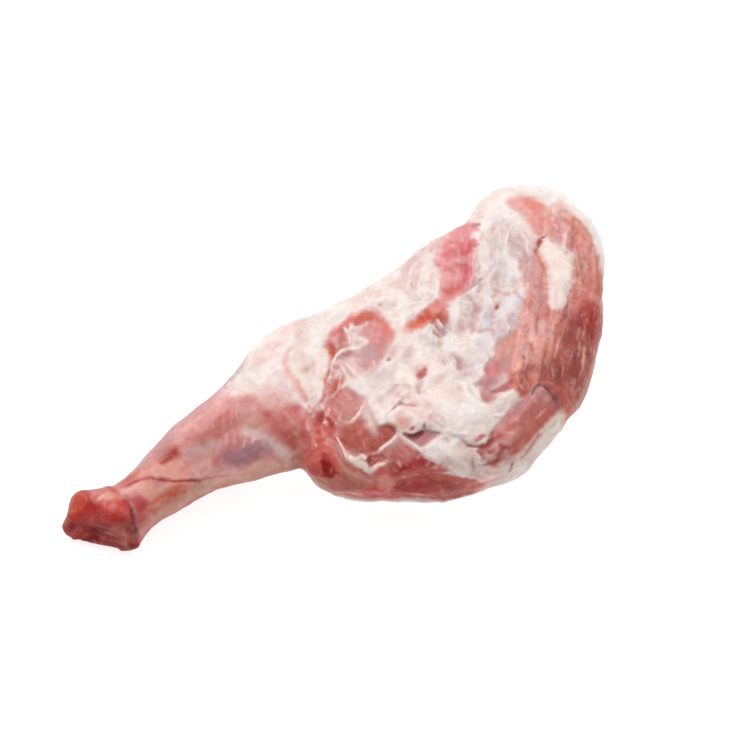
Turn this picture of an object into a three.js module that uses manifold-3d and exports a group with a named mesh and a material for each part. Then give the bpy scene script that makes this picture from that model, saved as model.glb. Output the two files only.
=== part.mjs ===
// Raw lamb shoulder on the bone, with its foreshank: the long "banjo" cut. It lies on its outer
// side with the inner face, which lay against the ribs, upwards.
//
// Millimetres, +Z up. X runs from the knuckle at the shank's end to the edge of the blade, Y across
// the joint, and the origin is the middle of the outline, on the surface that the joint rests on.
//
// The joint is one piece of meat: a tapering limb and a broad body, each turned as a plain
// blank and then pushed out to its own cross-sections, joined into one solid, and trimmed flat
// where its weight presses it onto the surface.

import * as THREE from "three";
import { mergeVertices } from "three/addons/utils/BufferGeometryUtils.js";
import Module from "manifold-3d";

const wasm = await Module();
wasm.setup();

// ---- Cross-sections ------------------------------------------------------------------------
// One row is one cut across the joint: [x, near edge, far edge, top, widest, underside]. The two
// edges are heights on Y, the last three are heights on Z. The first and last rows are the tips.

const LIMB_SECTIONS = [
  [-222, 20, 33, 28, 20, 12],
  [-215, 11, 39, 38, 20, 2],
  [-203, 4, 43, 42, 20, -2],
  [-189, -7, 40, 39, 20, -2],
  [-177, -5, 37, 37, 20, 0],
  [-162, 0, 40, 36, 20, 3],
  [-145, 0, 46, 39, 20, 3],
  [-126, 0, 52, 44, 22, 1],
  [-106, -4, 55, 50, 24, -1],
  [-86, -10, 58, 55, 26, -2],
  [-66, -16, 64, 58, 27, -3],
  [-48, -18, 73, 60, 28, -3],
  [-30, -17, 78, 61, 28, -3],
  [-8, -9, 77, 61, 28, -1],
  [12, 3, 73, 60, 28, 0],
  [30, 13, 65, 54, 27, 6],
  [42, 29, 51, 38, 26, 17],
];

const BODY_SECTIONS = [
  [-61, -29, -21, 28, 22, 17],
  [-56, -40, 3, 41, 23, 7],
  [-48, -52, 29, 51, 24, 1],
  [-36, -62, 49, 58, 25, -2],
  [-22, -71, 63, 63, 25, -4],
  [6, -90, 73, 67, 26, -5],
  [38, -97, 71, 67, 26, -6],
  [68, -99, 75, 64, 25, -6],
  [98, -87, 82, 59, 24, -5],
  [126, -77, 85, 53, 23, -4],
  [140, -67, 86, 50, 22, -4],
  [152, -54, 95, 48, 22, -3],
  [174, -33, 100, 43, 21, -2],
  [194, -6, 92, 37, 19, 0],
  [208, 12, 83, 31, 18, 4],
  [215, 25, 69, 25, 17, 9],
  [219, 43, 53, 19, 16, 13],
];

// How full a cross-section is: 2 is an ellipse, and higher is squarer with rounder shoulders.
const LIMB_FULLNESS = 2.1;
const BODY_FULLNESS = 2.7;

const LIMB_FACETS = { along: 36, around: 30 };
const BODY_FACETS = { along: 54, around: 70 };

// ---- Relief of the upper side ---------------------------------------------------------------
// Each swell raises or sinks the upper side about a point: half lengths along and across its own
// direction, which is turned from X by so many degrees.

const SWELLS = [
  { name: "fat over the arm joint", at: [38, -49], reach: [42, 24], turn: 0, rise: 5 },
  { name: "arm muscle", at: [14, 25], reach: [22, 20], turn: 0, rise: 2.5 },
  { name: "hollow of the blade", at: [102, 17], reach: [44, 26], turn: 30, rise: -7 },
  { name: "rib muscle along the blade's edge", at: [138, -15], reach: [62, 17], turn: 45, rise: 5 },
  { name: "round muscle below the blade", at: [74, -81], reach: [34, 14], turn: 12, rise: 4 },
  { name: "shank muscle", at: [-114, 33], reach: [42, 11], turn: 8, rise: 3 },
  { name: "shank bone end", at: [-194, 21], reach: [16, 14], turn: 0, rise: 3 },
];

// Creases pressed into the upper side along paths of points on X and Y.
const CREASES = [
  {
    name: "where the limb meets the arm",
    path: [[-12, 30], [-28, 3], [-40, -10], [-58, -26]],
    halfWidth: 5,
    depth: 4,
  },
  {
    name: "below the fat over the arm joint",
    path: [[-6, -52], [8, -57], [20, -66], [36, -78], [58, -78], [78, -73]],
    halfWidth: 4,
    depth: 3,
  },
  {
    name: "between the rib muscle and the round muscle",
    path: [[84, -62], [98, -61], [104, -70], [105, -86]],
    halfWidth: 4,
    depth: 3,
  },
];

// The open pocket beside the crook: an ellipsoid cut into the upper side.
const POCKET = { at: [-52, -36, 45], half: [3.6, 7.5, 12], turn: -5 };

// The faces where the shank was cut off at its joint: a point on each, and the way it faces.
const KNUCKLE_CUTS = [
  { name: "raw end", at: [-196, 15, 39], facing: [-0.66, 0.02, 0.75] },
  { name: "lower corner", at: [-202.5, 15.5, 10], facing: [-0.73, -0.66, 0.18] },
  { name: "far corner", at: [-212.5, 22.5, 50], facing: [-0.64, 0.72, 0.27] },
];
const CUT_BLOCK = { width: 160, height: 60 };

// The flat underside, where the joint's own weight presses it onto the surface it lies on.
const SURFACE_BLOCK = { width: 600, height: 60 };

const MEAT_COLOUR = 0xd9928a;

// ---- Shaping --------------------------------------------------------------------------------

// A smooth run through rows of numbers: at(u) gives the row at u, from 0 (first) to 1 (last).
function smoothRows(rows) {
  const places = rows.map((_, i) => i / (rows.length - 1));
  const run = new THREE.CubicInterpolant(places, rows.flat(), rows[0].length);
  return (u) => Array.from(run.evaluate(u));
}

// A turned blank of unit radius and unit length along Y, closed to a point at both ends.
function turnedBlank({ along, around }) {
  const profile = [new THREE.Vector2(0, 0)];
  for (let i = 1; i < along; i++) {
    const u = i / along;
    profile.push(new THREE.Vector2(1, u));
  }
  profile.push(new THREE.Vector2(0, 1));
  return new THREE.LatheGeometry(profile, around);
}

// A power that keeps the sign, which turns a circle into a fuller, squarer oval.
const fuller = (value, power) => Math.sign(value) * Math.abs(value) ** power;

function swellHeight({ at, reach, turn, rise }, x, y) {
  const angle = THREE.MathUtils.degToRad(turn);
  const along = (x - at[0]) * Math.cos(angle) + (y - at[1]) * Math.sin(angle);
  const across = (y - at[1]) * Math.cos(angle) - (x - at[0]) * Math.sin(angle);
  return rise * Math.exp(-((along / reach[0]) ** 2) - (across / reach[1]) ** 2);
}

function creaseDepth({ path, halfWidth, depth }, x, y) {
  const point = new THREE.Vector3(x, y, 0);
  const nearest = new THREE.Vector3();
  const gaps = path.slice(1).map((end, i) => {
    const line = new THREE.Line3(new THREE.Vector3(...path[i], 0), new THREE.Vector3(...end, 0));
    return line.closestPointToPoint(point, true, nearest).distanceTo(point);
  });
  return depth * Math.exp(-((Math.min(...gaps) / halfWidth) ** 2));
}

function relief(x, y) {
  const raised = SWELLS.reduce((sum, swell) => sum + swellHeight(swell, x, y), 0);
  const pressed = CREASES.reduce((sum, crease) => sum + creaseDepth(crease, x, y), 0);
  return raised - pressed;
}

// Pushes a turned blank out to its cross-sections, with the relief on its upper side.
function pushedOut(sections, fullness, facets) {
  const sectionAt = smoothRows(sections);
  const blank = turnedBlank(facets);
  const position = blank.getAttribute("position");
  for (let i = 0; i < position.count; i++) {
    const [x, near, far, top, widest, underside] = sectionAt(position.getY(i));
    const across = fuller(-position.getX(i), 2 / fullness);
    const up = fuller(position.getZ(i), 2 / fullness);
    const y = (near + far) / 2 + (across * (far - near)) / 2;
    const reach = up > 0 ? top - widest : widest - underside;
    const lift = up > 0 ? up * relief(x, y) : 0;
    position.setXYZ(i, x, y, widest + up * reach + lift);
  }
  return blank;
}

// ---- Joining and cutting --------------------------------------------------------------------

function toSolid(geometry) {
  const bare = geometry.clone();
  bare.deleteAttribute("normal");
  bare.deleteAttribute("uv");
  const merged = mergeVertices(bare, 1e-4);
  const mesh = new wasm.Mesh({
    numProp: 3,
    vertProperties: merged.getAttribute("position").array,
    triVerts: new Uint32Array(merged.index.array),
  });
  return new wasm.Manifold(mesh);
}

function toGeometry(solid) {
  const { vertProperties, triVerts } = solid.getMesh();
  const geometry = new THREE.BufferGeometry();
  geometry.setAttribute("position", new THREE.BufferAttribute(vertProperties, 3));
  geometry.setIndex(new THREE.BufferAttribute(triVerts, 1));
  geometry.computeVertexNormals();
  return geometry;
}

function pocketSolid({ at, half, turn }) {
  const ellipsoid = new THREE.SphereGeometry(1, 16, 12);
  ellipsoid.scale(...half);
  ellipsoid.rotateZ(THREE.MathUtils.degToRad(turn));
  ellipsoid.translate(...at);
  return toSolid(ellipsoid);
}

function surfaceSolid({ width, height }) {
  const block = new THREE.BoxGeometry(width, width, height);
  block.translate(0, 0, -height / 2);
  return toSolid(block);
}

// A block whose underside is the cut face, and which holds all that the cut takes away.
function cutSolid({ at, facing }) {
  const { width, height } = CUT_BLOCK;
  const block = new THREE.BoxGeometry(width, width, height);
  block.translate(0, 0, height / 2);
  const outwards = new THREE.Vector3(...facing).normalize();
  const turn = new THREE.Quaternion().setFromUnitVectors(new THREE.Vector3(0, 0, 1), outwards);
  block.applyQuaternion(turn);
  block.translate(...at);
  return toSolid(block);
}

function meatSolid() {
  const whole = toSolid(pushedOut(LIMB_SECTIONS, LIMB_FULLNESS, LIMB_FACETS));
  const limb = KNUCKLE_CUTS.reduce((left, cut) => left.subtract(cutSolid(cut)), whole);
  const body = toSolid(pushedOut(BODY_SECTIONS, BODY_FULLNESS, BODY_FACETS));
  return limb.add(body).subtract(surfaceSolid(SURFACE_BLOCK)).subtract(pocketSolid(POCKET));
}

// ---- The joint of meat ----------------------------------------------------------------------

const meat = new THREE.Mesh(
  toGeometry(meatSolid()),
  new THREE.MeshStandardMaterial({ color: MEAT_COLOUR, roughness: 0.4, metalness: 0 }),
);
meat.name = "lamb_shoulder";

const joint = new THREE.Group();
joint.add(meat);

export default joint;
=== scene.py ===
"""A raw lamb shoulder with its foreshank, rib side up, on a pale floor in soft studio light.

The meat is a fine, even copy of the joint's solid. What the rib side shows is laid over it feature
by feature: muscle, fat, membrane, creases, blood. Some features are painted shade and painted
highlights: dark lines in creases, folds and grooves, shadows under lips, the shank darker where it
turns away, whitened fold crests. Each feature has an outline or a path in millimetres on the chart,
a flat map of the joint: the level plane CHART_HEIGHT above the floor, as seen from EYE. A feature
colours the surface there and also raises or sinks it.
"""

import itertools
import math

import bmesh
import bpy
import numpy as np
from mathutils import Matrix, Vector
from mathutils.bvhtree import BVHTree


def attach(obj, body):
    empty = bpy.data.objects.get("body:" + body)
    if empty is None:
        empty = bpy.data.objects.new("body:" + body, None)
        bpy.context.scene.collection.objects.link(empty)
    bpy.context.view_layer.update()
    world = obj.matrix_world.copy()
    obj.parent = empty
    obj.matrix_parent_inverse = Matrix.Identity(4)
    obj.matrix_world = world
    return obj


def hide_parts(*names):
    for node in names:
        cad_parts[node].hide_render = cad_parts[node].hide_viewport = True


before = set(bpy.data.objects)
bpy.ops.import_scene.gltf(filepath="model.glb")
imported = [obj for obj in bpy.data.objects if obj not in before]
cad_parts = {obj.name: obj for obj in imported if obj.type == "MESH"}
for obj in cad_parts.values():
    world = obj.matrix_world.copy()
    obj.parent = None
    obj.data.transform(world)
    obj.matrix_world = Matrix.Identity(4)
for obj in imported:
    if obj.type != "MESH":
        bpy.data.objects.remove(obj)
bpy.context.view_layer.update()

MM = 0.001
FLOOR_REACH = 40.0  # metres from the middle of the floor to each side

# ---- Where the joint is looked at from: degrees and millimetres ---------------------------------
VIEW_AZIMUTH = -32
VIEW_ELEVATION = 60
VIEW_DISTANCE = 1600
AIM = np.array([24.0, 33.0, 0.0])
FRAME_WIDTH = 518.0  # what the view takes in from side to side, at the aim
CHART_HEIGHT = 50.0
SENSOR_WIDTH = 36.0

azimuth, elevation = math.radians(VIEW_AZIMUTH), math.radians(VIEW_ELEVATION)
BACK = np.array([
    math.sin(azimuth) * math.cos(elevation),
    -math.cos(azimuth) * math.cos(elevation),
    math.sin(elevation),
])
RIGHT = np.array([math.cos(azimuth), math.sin(azimuth), 0.0])
UP = np.cross(BACK, RIGHT)
EYE = AIM + BACK * VIEW_DISTANCE

# ---- The meat's mesh, in millimetres -------------------------------------------------------------
MESH_STEP = 2.12
FINE_FACING = 0.0  # faces that turn towards EYE more than this get the finer mesh
SMOOTHINGS = 10
FINE_SMOOTHINGS = 3
FAT_THICKNESS = 1.0  # how far the fat and the thick fascia stand above the muscle
COVER_REACH = 6.0  # how far from its edge the covering's distance is kept
WRINKLE_SOFT = 5.0  # how softly a crumpled place ends

# ---- The pocket beside the crook, in millimetres: its middle, its half lengths and its turn ------------
POCKET_AT = (-52.0, -36.0, 45.0)
POCKET_HALF = (3.6, 7.5, 12.0)
POCKET_TURN = math.radians(-5)

# ---- Tones: red, green, blue as they look on a screen, 0 to 255 -----------------------------------
TONES = {
    "cream": (248, 234, 227),
    "white fat": (252, 244, 240),
    "blush fat": (247, 226, 220),
    "warm fat": (243, 224, 206),
    # greyer fat, partly for painted shade in creases, hollows and along the far edge
    "grey shaded fat": (224, 210, 202),
    "pearl": (232, 217, 213),
    "blue pearl": (222, 216, 222),
    "dull fascia": (202, 178, 168),
    "pale rim": (206, 186, 172),
    "pink membrane": (228, 164, 166),
    "pale membrane": (240, 192, 184),
    "rose": (208, 134, 132),
    "mauve": (186, 138, 142),
    "bruise": (148, 110, 126),
    "salmon": (231, 160, 146),
    "bright pink": (224, 128, 134),
    "muscle": (186, 92, 82),
    "brown muscle": (164, 86, 74),
    "dark muscle": (136, 64, 58),
    "orange muscle": (208, 92, 70),
    "light muscle": (206, 130, 118),
    "lean pink": (208, 116, 112),
    "cut red": (160, 58, 52),
    "blood": (194, 40, 36),
    "wet red": (208, 78, 72),
    "deep blood": (140, 22, 18),
    "dark blood": (84, 0, 0),
    # painted shadow in grooves and under lips
    "crevice shadow": (70, 28, 24),
    "beige": (194, 148, 124),
    "olive beige": (198, 158, 132),
    "grey mauve": (196, 166, 164),
    "dark mauve": (146, 100, 104),
    "old rose": (212, 156, 154),
    "rust": (188, 82, 52),
    "brick": (174, 52, 34),
    "crimson": (158, 24, 28),
    "raspberry": (206, 82, 100),
}


def linear(tone):
    """A named tone as linear light."""
    parts = np.array(TONES[tone]) / 255
    return np.where(parts < 0.04045, parts / 12.92, ((parts + 0.055) / 1.055) ** 2.4)


# ---- Numbers over many points ----------------------------------------------------------------------

def smooth_step(values):
    values = np.clip(values, 0, 1)
    return values * values * (3 - 2 * values)


def fade(depth, soft):
    """Nought outside an edge and one inside it, with a soft step over it."""
    return smooth_step(0.5 + depth / (2 * soft))


HASH_PRIMES = (73856093, 19349663, 83492791)
HASH_FACTOR = 1274126177
SEED_STEP = 17.31  # how far apart in the noise two seeds next to each other start


def soft_noise(points, size, seed):
    """Smooth random values from -1 to 1 at the points, in lumps of the given size."""
    places = points / size + 100 + seed * SEED_STEP
    cell = np.floor(places).astype(np.int64)
    part = places - cell
    part = part * part * (3 - 2 * part)
    total = np.zeros(len(points))
    for corner in itertools.product((0, 1), repeat=3):
        key = cell + np.array(corner)
        mixed = key * HASH_PRIMES
        bits = mixed[:, 0] ^ mixed[:, 1] ^ mixed[:, 2]
        bits = ((bits ^ (bits >> 13)) * HASH_FACTOR) & 0xFFFFFFFF
        value = ((bits ^ (bits >> 16)) & 0xFFFF) / 32767.5 - 1
        total += value * np.prod(np.where(np.array(corner), part, 1 - part), axis=1)
    return total


def rough_noise(points, size, seed):
    """Soft noise with smaller lumps on it."""
    return (soft_noise(points, size, seed) + 0.5 * soft_noise(points, size / 2.1, seed + 1)
            + 0.25 * soft_noise(points, size / 4.3, seed + 2)) / 1.4


def on_chart(points):
    """Where sight lines from EYE through the points meet the chart."""
    sight = points - EYE
    reach = (CHART_HEIGHT - EYE[2]) / sight[:, 2]
    spot = EYE + sight * reach[:, None]
    return spot[:, 0], spot[:, 1]


def rounded(points, closed, steps=4):
    """A smooth run through a few points."""
    points = np.array(points, float)
    count = len(points)
    if count < 3:
        return points
    if closed:
        around = [points[i % count] for i in range(-1, count + 2)]
    else:
        around = [points[0], *points, points[-1]]
    run = []
    for before, start, end, after in zip(around, around[1:], around[2:], around[3:]):
        for t in np.arange(steps) / steps:
            run.append(0.5 * (2 * start + (end - before) * t
                              + (2 * before - 5 * start + 4 * end - after) * t ** 2
                              + (3 * start - before - 3 * end + after) * t ** 3))
    if not closed:
        run.append(points[-1])
    return np.array(run)


def to_segments(x, y, run):
    """For each point, its distance from a run of segments and how far along it the nearest place is."""
    best = np.full(len(x), 1e9)
    along = np.zeros(len(x))
    count = len(run) - 1
    for i, (start, end) in enumerate(zip(run, run[1:])):
        side = end - start
        length = max(side @ side, 1e-9)
        t = np.clip(((x - start[0]) * side[0] + (y - start[1]) * side[1]) / length, 0, 1)
        gap = np.hypot(x - start[0] - t * side[0], y - start[1] - t * side[1])
        nearer = gap < best
        best = np.where(nearer, gap, best)
        along = np.where(nearer, (i + t) / count, along)
    return best, along


def inside(x, y, run):
    """Whether each point lies inside a closed run."""
    result = np.zeros(len(x), bool)
    for start, end in zip(run, run[1:]):
        if start[1] == end[1]:
            continue
        crosses = (start[1] > y) != (end[1] > y)
        at = start[0] + (y - start[1]) / (end[1] - start[1]) * (end[0] - start[0])
        result ^= crosses & (x < at)
    return result


# ---- The meat's blank ------------------------------------------------------------------------------

def smooth(shape, rounds):
    for _ in range(rounds):
        bmesh.ops.smooth_vert(shape, verts=shape.verts, factor=0.5,
                              use_axis_x=True, use_axis_y=True, use_axis_z=True)


def meat_blank(node):
    """An even, smooth copy of the solid, with a finer mesh on the side that faces EYE."""
    mesh = node.data.copy()
    blank = bpy.data.objects.new("lamb_meat", mesh)
    bpy.context.scene.collection.objects.link(blank)
    joined = bmesh.new()
    joined.from_mesh(mesh)
    bmesh.ops.remove_doubles(joined, verts=joined.verts, dist=1e-5)
    joined.to_mesh(mesh)
    joined.free()
    even = blank.modifiers.new("even", "REMESH")
    even.mode = "VOXEL"
    even.voxel_size = MESH_STEP * MM
    shown = blank.evaluated_get(bpy.context.evaluated_depsgraph_get())
    fine = bmesh.new()
    fine.from_mesh(shown.to_mesh())
    shown.to_mesh_clear()
    blank.modifiers.clear()
    smooth(fine, SMOOTHINGS)
    fine.normal_update()
    eye = Vector(EYE * MM)
    facing = []
    for face in fine.faces:
        sight = (eye - face.calc_center_median()).normalized()
        if face.normal.dot(sight) > FINE_FACING:
            facing.append(face)
    edges = list({edge for face in facing for edge in face.edges})
    bmesh.ops.subdivide_edges(fine, edges=edges, cuts=1, use_grid_fill=True)
    smooth(fine, FINE_SMOOTHINGS)
    fine.to_mesh(mesh)
    fine.free()
    mesh.shade_smooth()
    return blank


class Surface:
    """The joint's surface, point by point: its places, its two layers of colour and its relief.

    flesh is the muscle and membrane below, cover is the fat and fascia over it, and edge is how far
    inside the cover's edge a point lies, less than nothing where the flesh shows."""

    def __init__(self, mesh):
        count = len(mesh.vertices)
        place = np.zeros(count * 3, np.float32)
        mesh.vertices.foreach_get("co", place)
        self.place = place.reshape(-1, 3).astype(float) / MM
        normal = np.zeros(count * 3, np.float32)
        mesh.vertex_normals.foreach_get("vector", normal)
        self.normal = normal.reshape(-1, 3).astype(float)
        sight = EYE - self.place
        sight /= np.linalg.norm(sight, axis=1)[:, None]
        self.facing = np.einsum("ij,ij->i", self.normal, sight)
        self.seen = smooth_step((self.facing + 0.32) / 0.3)
        self.x, self.y = on_chart(self.place)
        self.x = self.x + 0.7 * soft_noise(self.place, 6, 41) + 0.3 * soft_noise(self.place, 2.4, 42)
        self.y = self.y + 0.7 * soft_noise(self.place, 6, 43) + 0.3 * soft_noise(self.place, 2.4, 44)
        self.flesh = np.tile(linear("rose"), (count, 1))
        self.cover = np.tile(linear("cream"), (count, 1))
        self.edge = np.full(count, COVER_REACH)
        self.relief = np.zeros(count)
        self.grain = np.zeros(count)
        self.turn = np.zeros(count)
        self.gloss = np.full(count, 0.35)
        self.fray = np.full(count, 0.5)
        self.film = np.zeros(count)
        self.crumple = np.full(count, 0.45)
        self.drawn = np.zeros(count)

    def near(self, run, margin):
        """The seen points in the box round a run."""
        low, high = run.min(0) - margin, run.max(0) + margin
        return np.nonzero((self.seen > 0) & (self.x > low[0]) & (self.x < high[0])
                          & (self.y > low[1]) & (self.y < high[1]))[0]

    def depth_inside(self, outline, soft, ragged, seed):
        """The points near an outline, and how far inside it each one lies."""
        run = rounded(outline, closed=True)
        run = np.vstack([run, run[:1]])
        close = self.near(run, soft + 2 * ragged + COVER_REACH)
        x, y = self.x[close], self.y[close]
        gap, _ = to_segments(x, y, run)
        depth = np.where(inside(x, y, run), gap, -gap)
        if ragged:
            depth = depth + ragged * rough_noise(self.place[close], 2.2 + 1.6 * ragged, seed)
        return close, depth

    def tint(self, close, weight, tone, layers=("flesh", "cover")):
        weight = (weight * self.seen[close])[:, None]
        for name in layers:
            colours = getattr(self, name)
            rooted = np.sqrt(colours[close])
            rooted += (np.sqrt(linear(tone)) - rooted) * weight
            colours[close] = rooted ** 2

    def mark(self, close, weight, height, gloss=None, grain=None, turn=None):
        """Raises a place, and sets how wet and how fibrous it is and which way its fibres run."""
        self.relief[close] += weight * height * self.seen[close]
        if grain is not None:
            self.grain[close] += (grain - self.grain[close]) * weight
        if turn is not None:
            self.turn[close] = np.where(weight > 0.5, math.radians(turn), self.turn[close])
        if gloss is not None:
            self.gloss[close] += (gloss - self.gloss[close]) * weight

    def patch(self, tone, outline, soft=3.0, ragged=1.0, strength=0.5, height=0.0, gloss=None):
        """Tints whatever lies inside an outline."""
        close, depth = self.depth_inside(outline, soft, ragged, seed=1)
        weight = fade(depth, soft)
        self.tint(close, weight * strength, tone)
        self.mark(close, weight, height, gloss)

    def muscle(self, tone, outline, soft=0.9, ragged=1.0, height=0.0, grain=0.4, turn=None,
               gloss=0.5, fray=0.5):
        """Opens the cover and shows muscle inside an outline; fray is how torn and thin its edge is."""
        close, depth = self.depth_inside(outline, soft, ragged, seed=2)
        weight = fade(depth, soft)
        rim = smooth_step(1 + depth / COVER_REACH)
        self.tint(close, rim, tone, ("flesh",))
        kept = np.clip(-depth, -COVER_REACH, COVER_REACH)
        kept = np.where(self.seen[close] > 0.5, kept, COVER_REACH)
        self.edge[close] = np.minimum(self.edge[close], kept)
        self.fray[close] += (fray - self.fray[close]) * rim
        self.crumple[close] += (0.2 - self.crumple[close]) * weight
        self.mark(close, weight, height, gloss, grain, turn)

    def fat(self, tone, outline, soft=1.2, ragged=1.0, height=0.0):
        """Lays fat or thick fascia over what is inside an outline."""
        close, depth = self.depth_inside(outline, soft, ragged, seed=3)
        weight = fade(depth, soft)
        self.tint(close, smooth_step(1 + depth / 1.5), tone, ("cover",))
        self.edge[close] = np.maximum(self.edge[close], np.clip(depth, -COVER_REACH, COVER_REACH))
        self.mark(close, weight, height, gloss=0.3, grain=0.0)

    def veil(self, outline, amount, soft, ragged):
        """Lays a web of thin white film over whatever is inside an outline."""
        close, depth = self.depth_inside(outline, soft, ragged, seed=6)
        weight = fade(depth, soft) * self.seen[close]
        self.film[close] += (amount - self.film[close]) * weight

    def wrinkle(self, outline, amount, turn=None):
        """Sets how crumpled the surface is inside an outline, and which way the folds run."""
        close, depth = self.depth_inside(outline, WRINKLE_SOFT, ragged=0, seed=7)
        weight = fade(depth, WRINKLE_SOFT)
        self.crumple[close] += (amount - self.crumple[close]) * weight
        if turn is not None:
            self.turn[close] += (math.radians(turn) - self.turn[close]) * weight

    def streak(self, tone, path, width, soft=0.8, strength=1.0, height=0.0, ragged=0.35):
        """Tints along a path; a pair of widths tapers from its start to its end."""
        run = rounded(path, closed=False)
        first, last = width if isinstance(width, tuple) else (width, width)
        close = self.near(run, max(first, last) + 2 * soft + 2)
        place = self.place[close]
        wander = 1.6 * ragged * soft_noise(place, 4.5, 14)
        stray = 1.6 * ragged * soft_noise(place, 4.5, 15)
        gap, along = to_segments(self.x[close] + wander, self.y[close] + stray, run)
        if ragged:
            gap = gap + ragged * rough_noise(place, 2.6, 4)
        half = (first + (last - first) * along) / 2
        weight = fade(half - gap, soft)
        weight = weight * smooth_step(0.95 + ragged * 1.6 * soft_noise(place, 4.0, 16))
        self.drawn[close] = np.maximum(self.drawn[close], weight * strength)
        self.tint(close, weight * strength, tone)
        self.mark(close, weight, height)

    def strokes(self, tone, rows, strength=0.6, soft=1.0, height=0.0, ragged=0.35):
        """Streaks of one tone; a row is a width, or a pair that tapers, and then the path."""
        for width, *path in rows:
            self.streak(tone, path, width, soft, strength, height, ragged)

    def spot(self, tone, centre, half, turn=0.0, soft=0.8, strength=0.7, height=0.0, ragged=0.12):
        """Tints an oval, with soft as the share of its size over which it fades."""
        centre = np.array(centre, float)
        reach = max(half) * (1 + soft) + 1
        close = self.near(np.array([centre, centre]), reach)
        x, y = self.x[close] - centre[0], self.y[close] - centre[1]
        c, s = math.cos(math.radians(turn)), math.sin(math.radians(turn))
        away = np.hypot((x * c + y * s) / half[0], (y * c - x * s) / half[1])
        if ragged:
            away = away + ragged * rough_noise(self.place[close], 3.0, 5)
        weight = fade(1 - away, soft)
        self.drawn[close] = np.maximum(self.drawn[close], weight * strength)
        self.tint(close, weight * strength, tone)
        self.mark(close, weight, height)

    def dabs(self, tone, rows, strength=0.6, soft=0.9, height=0.0):
        """Spots of one tone; a row is a centre's x and y, two half widths and a turn."""
        for x, y, long, short, turn in rows:
            self.spot(tone, (x, y), (long, short), turn, soft, strength, height, ragged=0.3)


# ---- What the rib side shows, region by region ------------------------------------------------------

def paint_limb(s):
    """The shank's membrane over its muscles, before the knuckle and the elbow are laid on it."""
    s.muscle("rose", [(-240, -60), (-240, 60), (-150, 60), (-92, 58), (-80, 46), (-66, 36), (-54, 26),
        (-46, 14), (-42, 2), (-46, -12), (-58, -40), (-130, -50)], soft=3, ragged=1.5, grain=0.2, turn=8,
        fray=1.3)
    s.patch("salmon", [(-165, 14), (-165, 40), (-128, 50), (-128, 24), (-140, 16)], soft=4)
    s.patch("pink membrane", [(-134, 32), (-100, 34), (-84, 38), (-80, 56), (-134, 56)], soft=5,
        strength=0.85)
    s.patch("bright pink", [(-122, 43), (-104, 43), (-90, 46), (-84, 52), (-110, 56), (-130, 50)],
        strength=0.35)
    s.patch("pale membrane", [(-132, 30), (-100, 38), (-86, 37), (-92, 43), (-120, 42)], soft=4,
        strength=0.4)
    s.patch("brown muscle", [(-129, 26), (-112, 27), (-98, 31), (-88, 31), (-84, 25), (-104, 18),
        (-118, 20)], soft=4, strength=0.3, ragged=1.5)
    s.patch("muscle", [(-106, 26), (-96, 31), (-86, 31), (-84, 24), (-94, 19), (-104, 20)], soft=4,
        strength=0.4)
    s.patch("grey mauve", [(-84, 32), (-74, 31), (-70, 24), (-80, 22)])
    s.patch("grey mauve", [(-130, 22), (-116, 22), (-106, 18), (-106, 10), (-128, 10)], soft=4,
        strength=0.6)
    s.patch("olive beige", [(-165, -4), (-130, -5), (-112, -10), (-88, -14), (-66, -18), (-64, -34),
        (-110, -30), (-165, -22)], soft=4, strength=0.6, ragged=1.5)
    s.patch("pale membrane", [(-130, 8), (-120, 9), (-113, 0), (-100, -9), (-84, -14), (-84, -20),
        (-112, -14), (-130, -6)], strength=0.45, ragged=1.5)
    s.patch("olive beige", [(-88, 22), (-78, 26), (-72, 18), (-74, 6), (-84, 10)], soft=4)
    s.patch("bruise", [(-114, 2), (-106, 7), (-86, 3), (-77, -1), (-76, -8), (-90, -10), (-104, -7)],
        soft=4.5, ragged=2, strength=0.62, height=-0.5)
    s.spot("muscle", (-114, 2.5), (4, 3), turn=30, soft=0.9, strength=0.5)
    s.patch("pearl", [(-90, 12), (-86, 16), (-82, 12), (-70, -8), (-71, -22), (-77, -17), (-80, -4)],
        soft=3.4, ragged=2, strength=0.6)
    # Painted glints on the pearly membrane.
    s.strokes("blush fat", [(1.4, (-87, 2), (-85, 5)), (1.2, (-89, 8), (-87, 11)), (1, (-93, 4),
        (-91, 7))], strength=0.8, height=0.3)
    s.strokes("pale membrane", [((1, 1.6), (-110, 8), (-104, 16)), ((1, 1.6), (-103, 8), (-98, 17)),
        ((1, 1.4), (-97, 9), (-93, 16)), ((1, 1.4), (-116, 9), (-110, 16)), ((1, 1.4), (-98, 22),
        (-90, 34)), ((1, 1.4), (-92, 22), (-84, 33)), ((1, 1.4), (-86, 24), (-79, 34)), ((1, 1.4),
        (-104, 27), (-98, 35))], strength=0.5, soft=1.2, height=0.2)
    s.strokes("pale membrane", [((1, 1.6), (-130.5, 30), (-130, 14), (-129, -2))])
    s.patch("mauve", [(-148, 28), (-140, 34), (-131, 36), (-131, 29), (-140, 26)], ragged=1.5)
    s.patch("muscle", [(-150, 21), (-141, 27), (-131, 28), (-131, 20), (-141, 17)], ragged=1.4,
        strength=0.6)
    s.dabs("crimson", [(-136.6, 22.6, 6.4, 2.6, 12), (-145, 20.6, 3, 1.6, 10)], height=-0.5)
    s.dabs("muscle", [(-133.5, 11, 3.6, 2, 10)], strength=0.5, height=-0.3)
    s.dabs("lean pink", [(-96, 30, 12, 4, 10), (-112, 24, 8, 4, 5)], strength=0.3)
    s.patch("mauve", [(-160, 19), (-150, 22), (-150, 30), (-162, 27)], soft=2.5, strength=0.4)
    paint_limb_upper(s)


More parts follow.
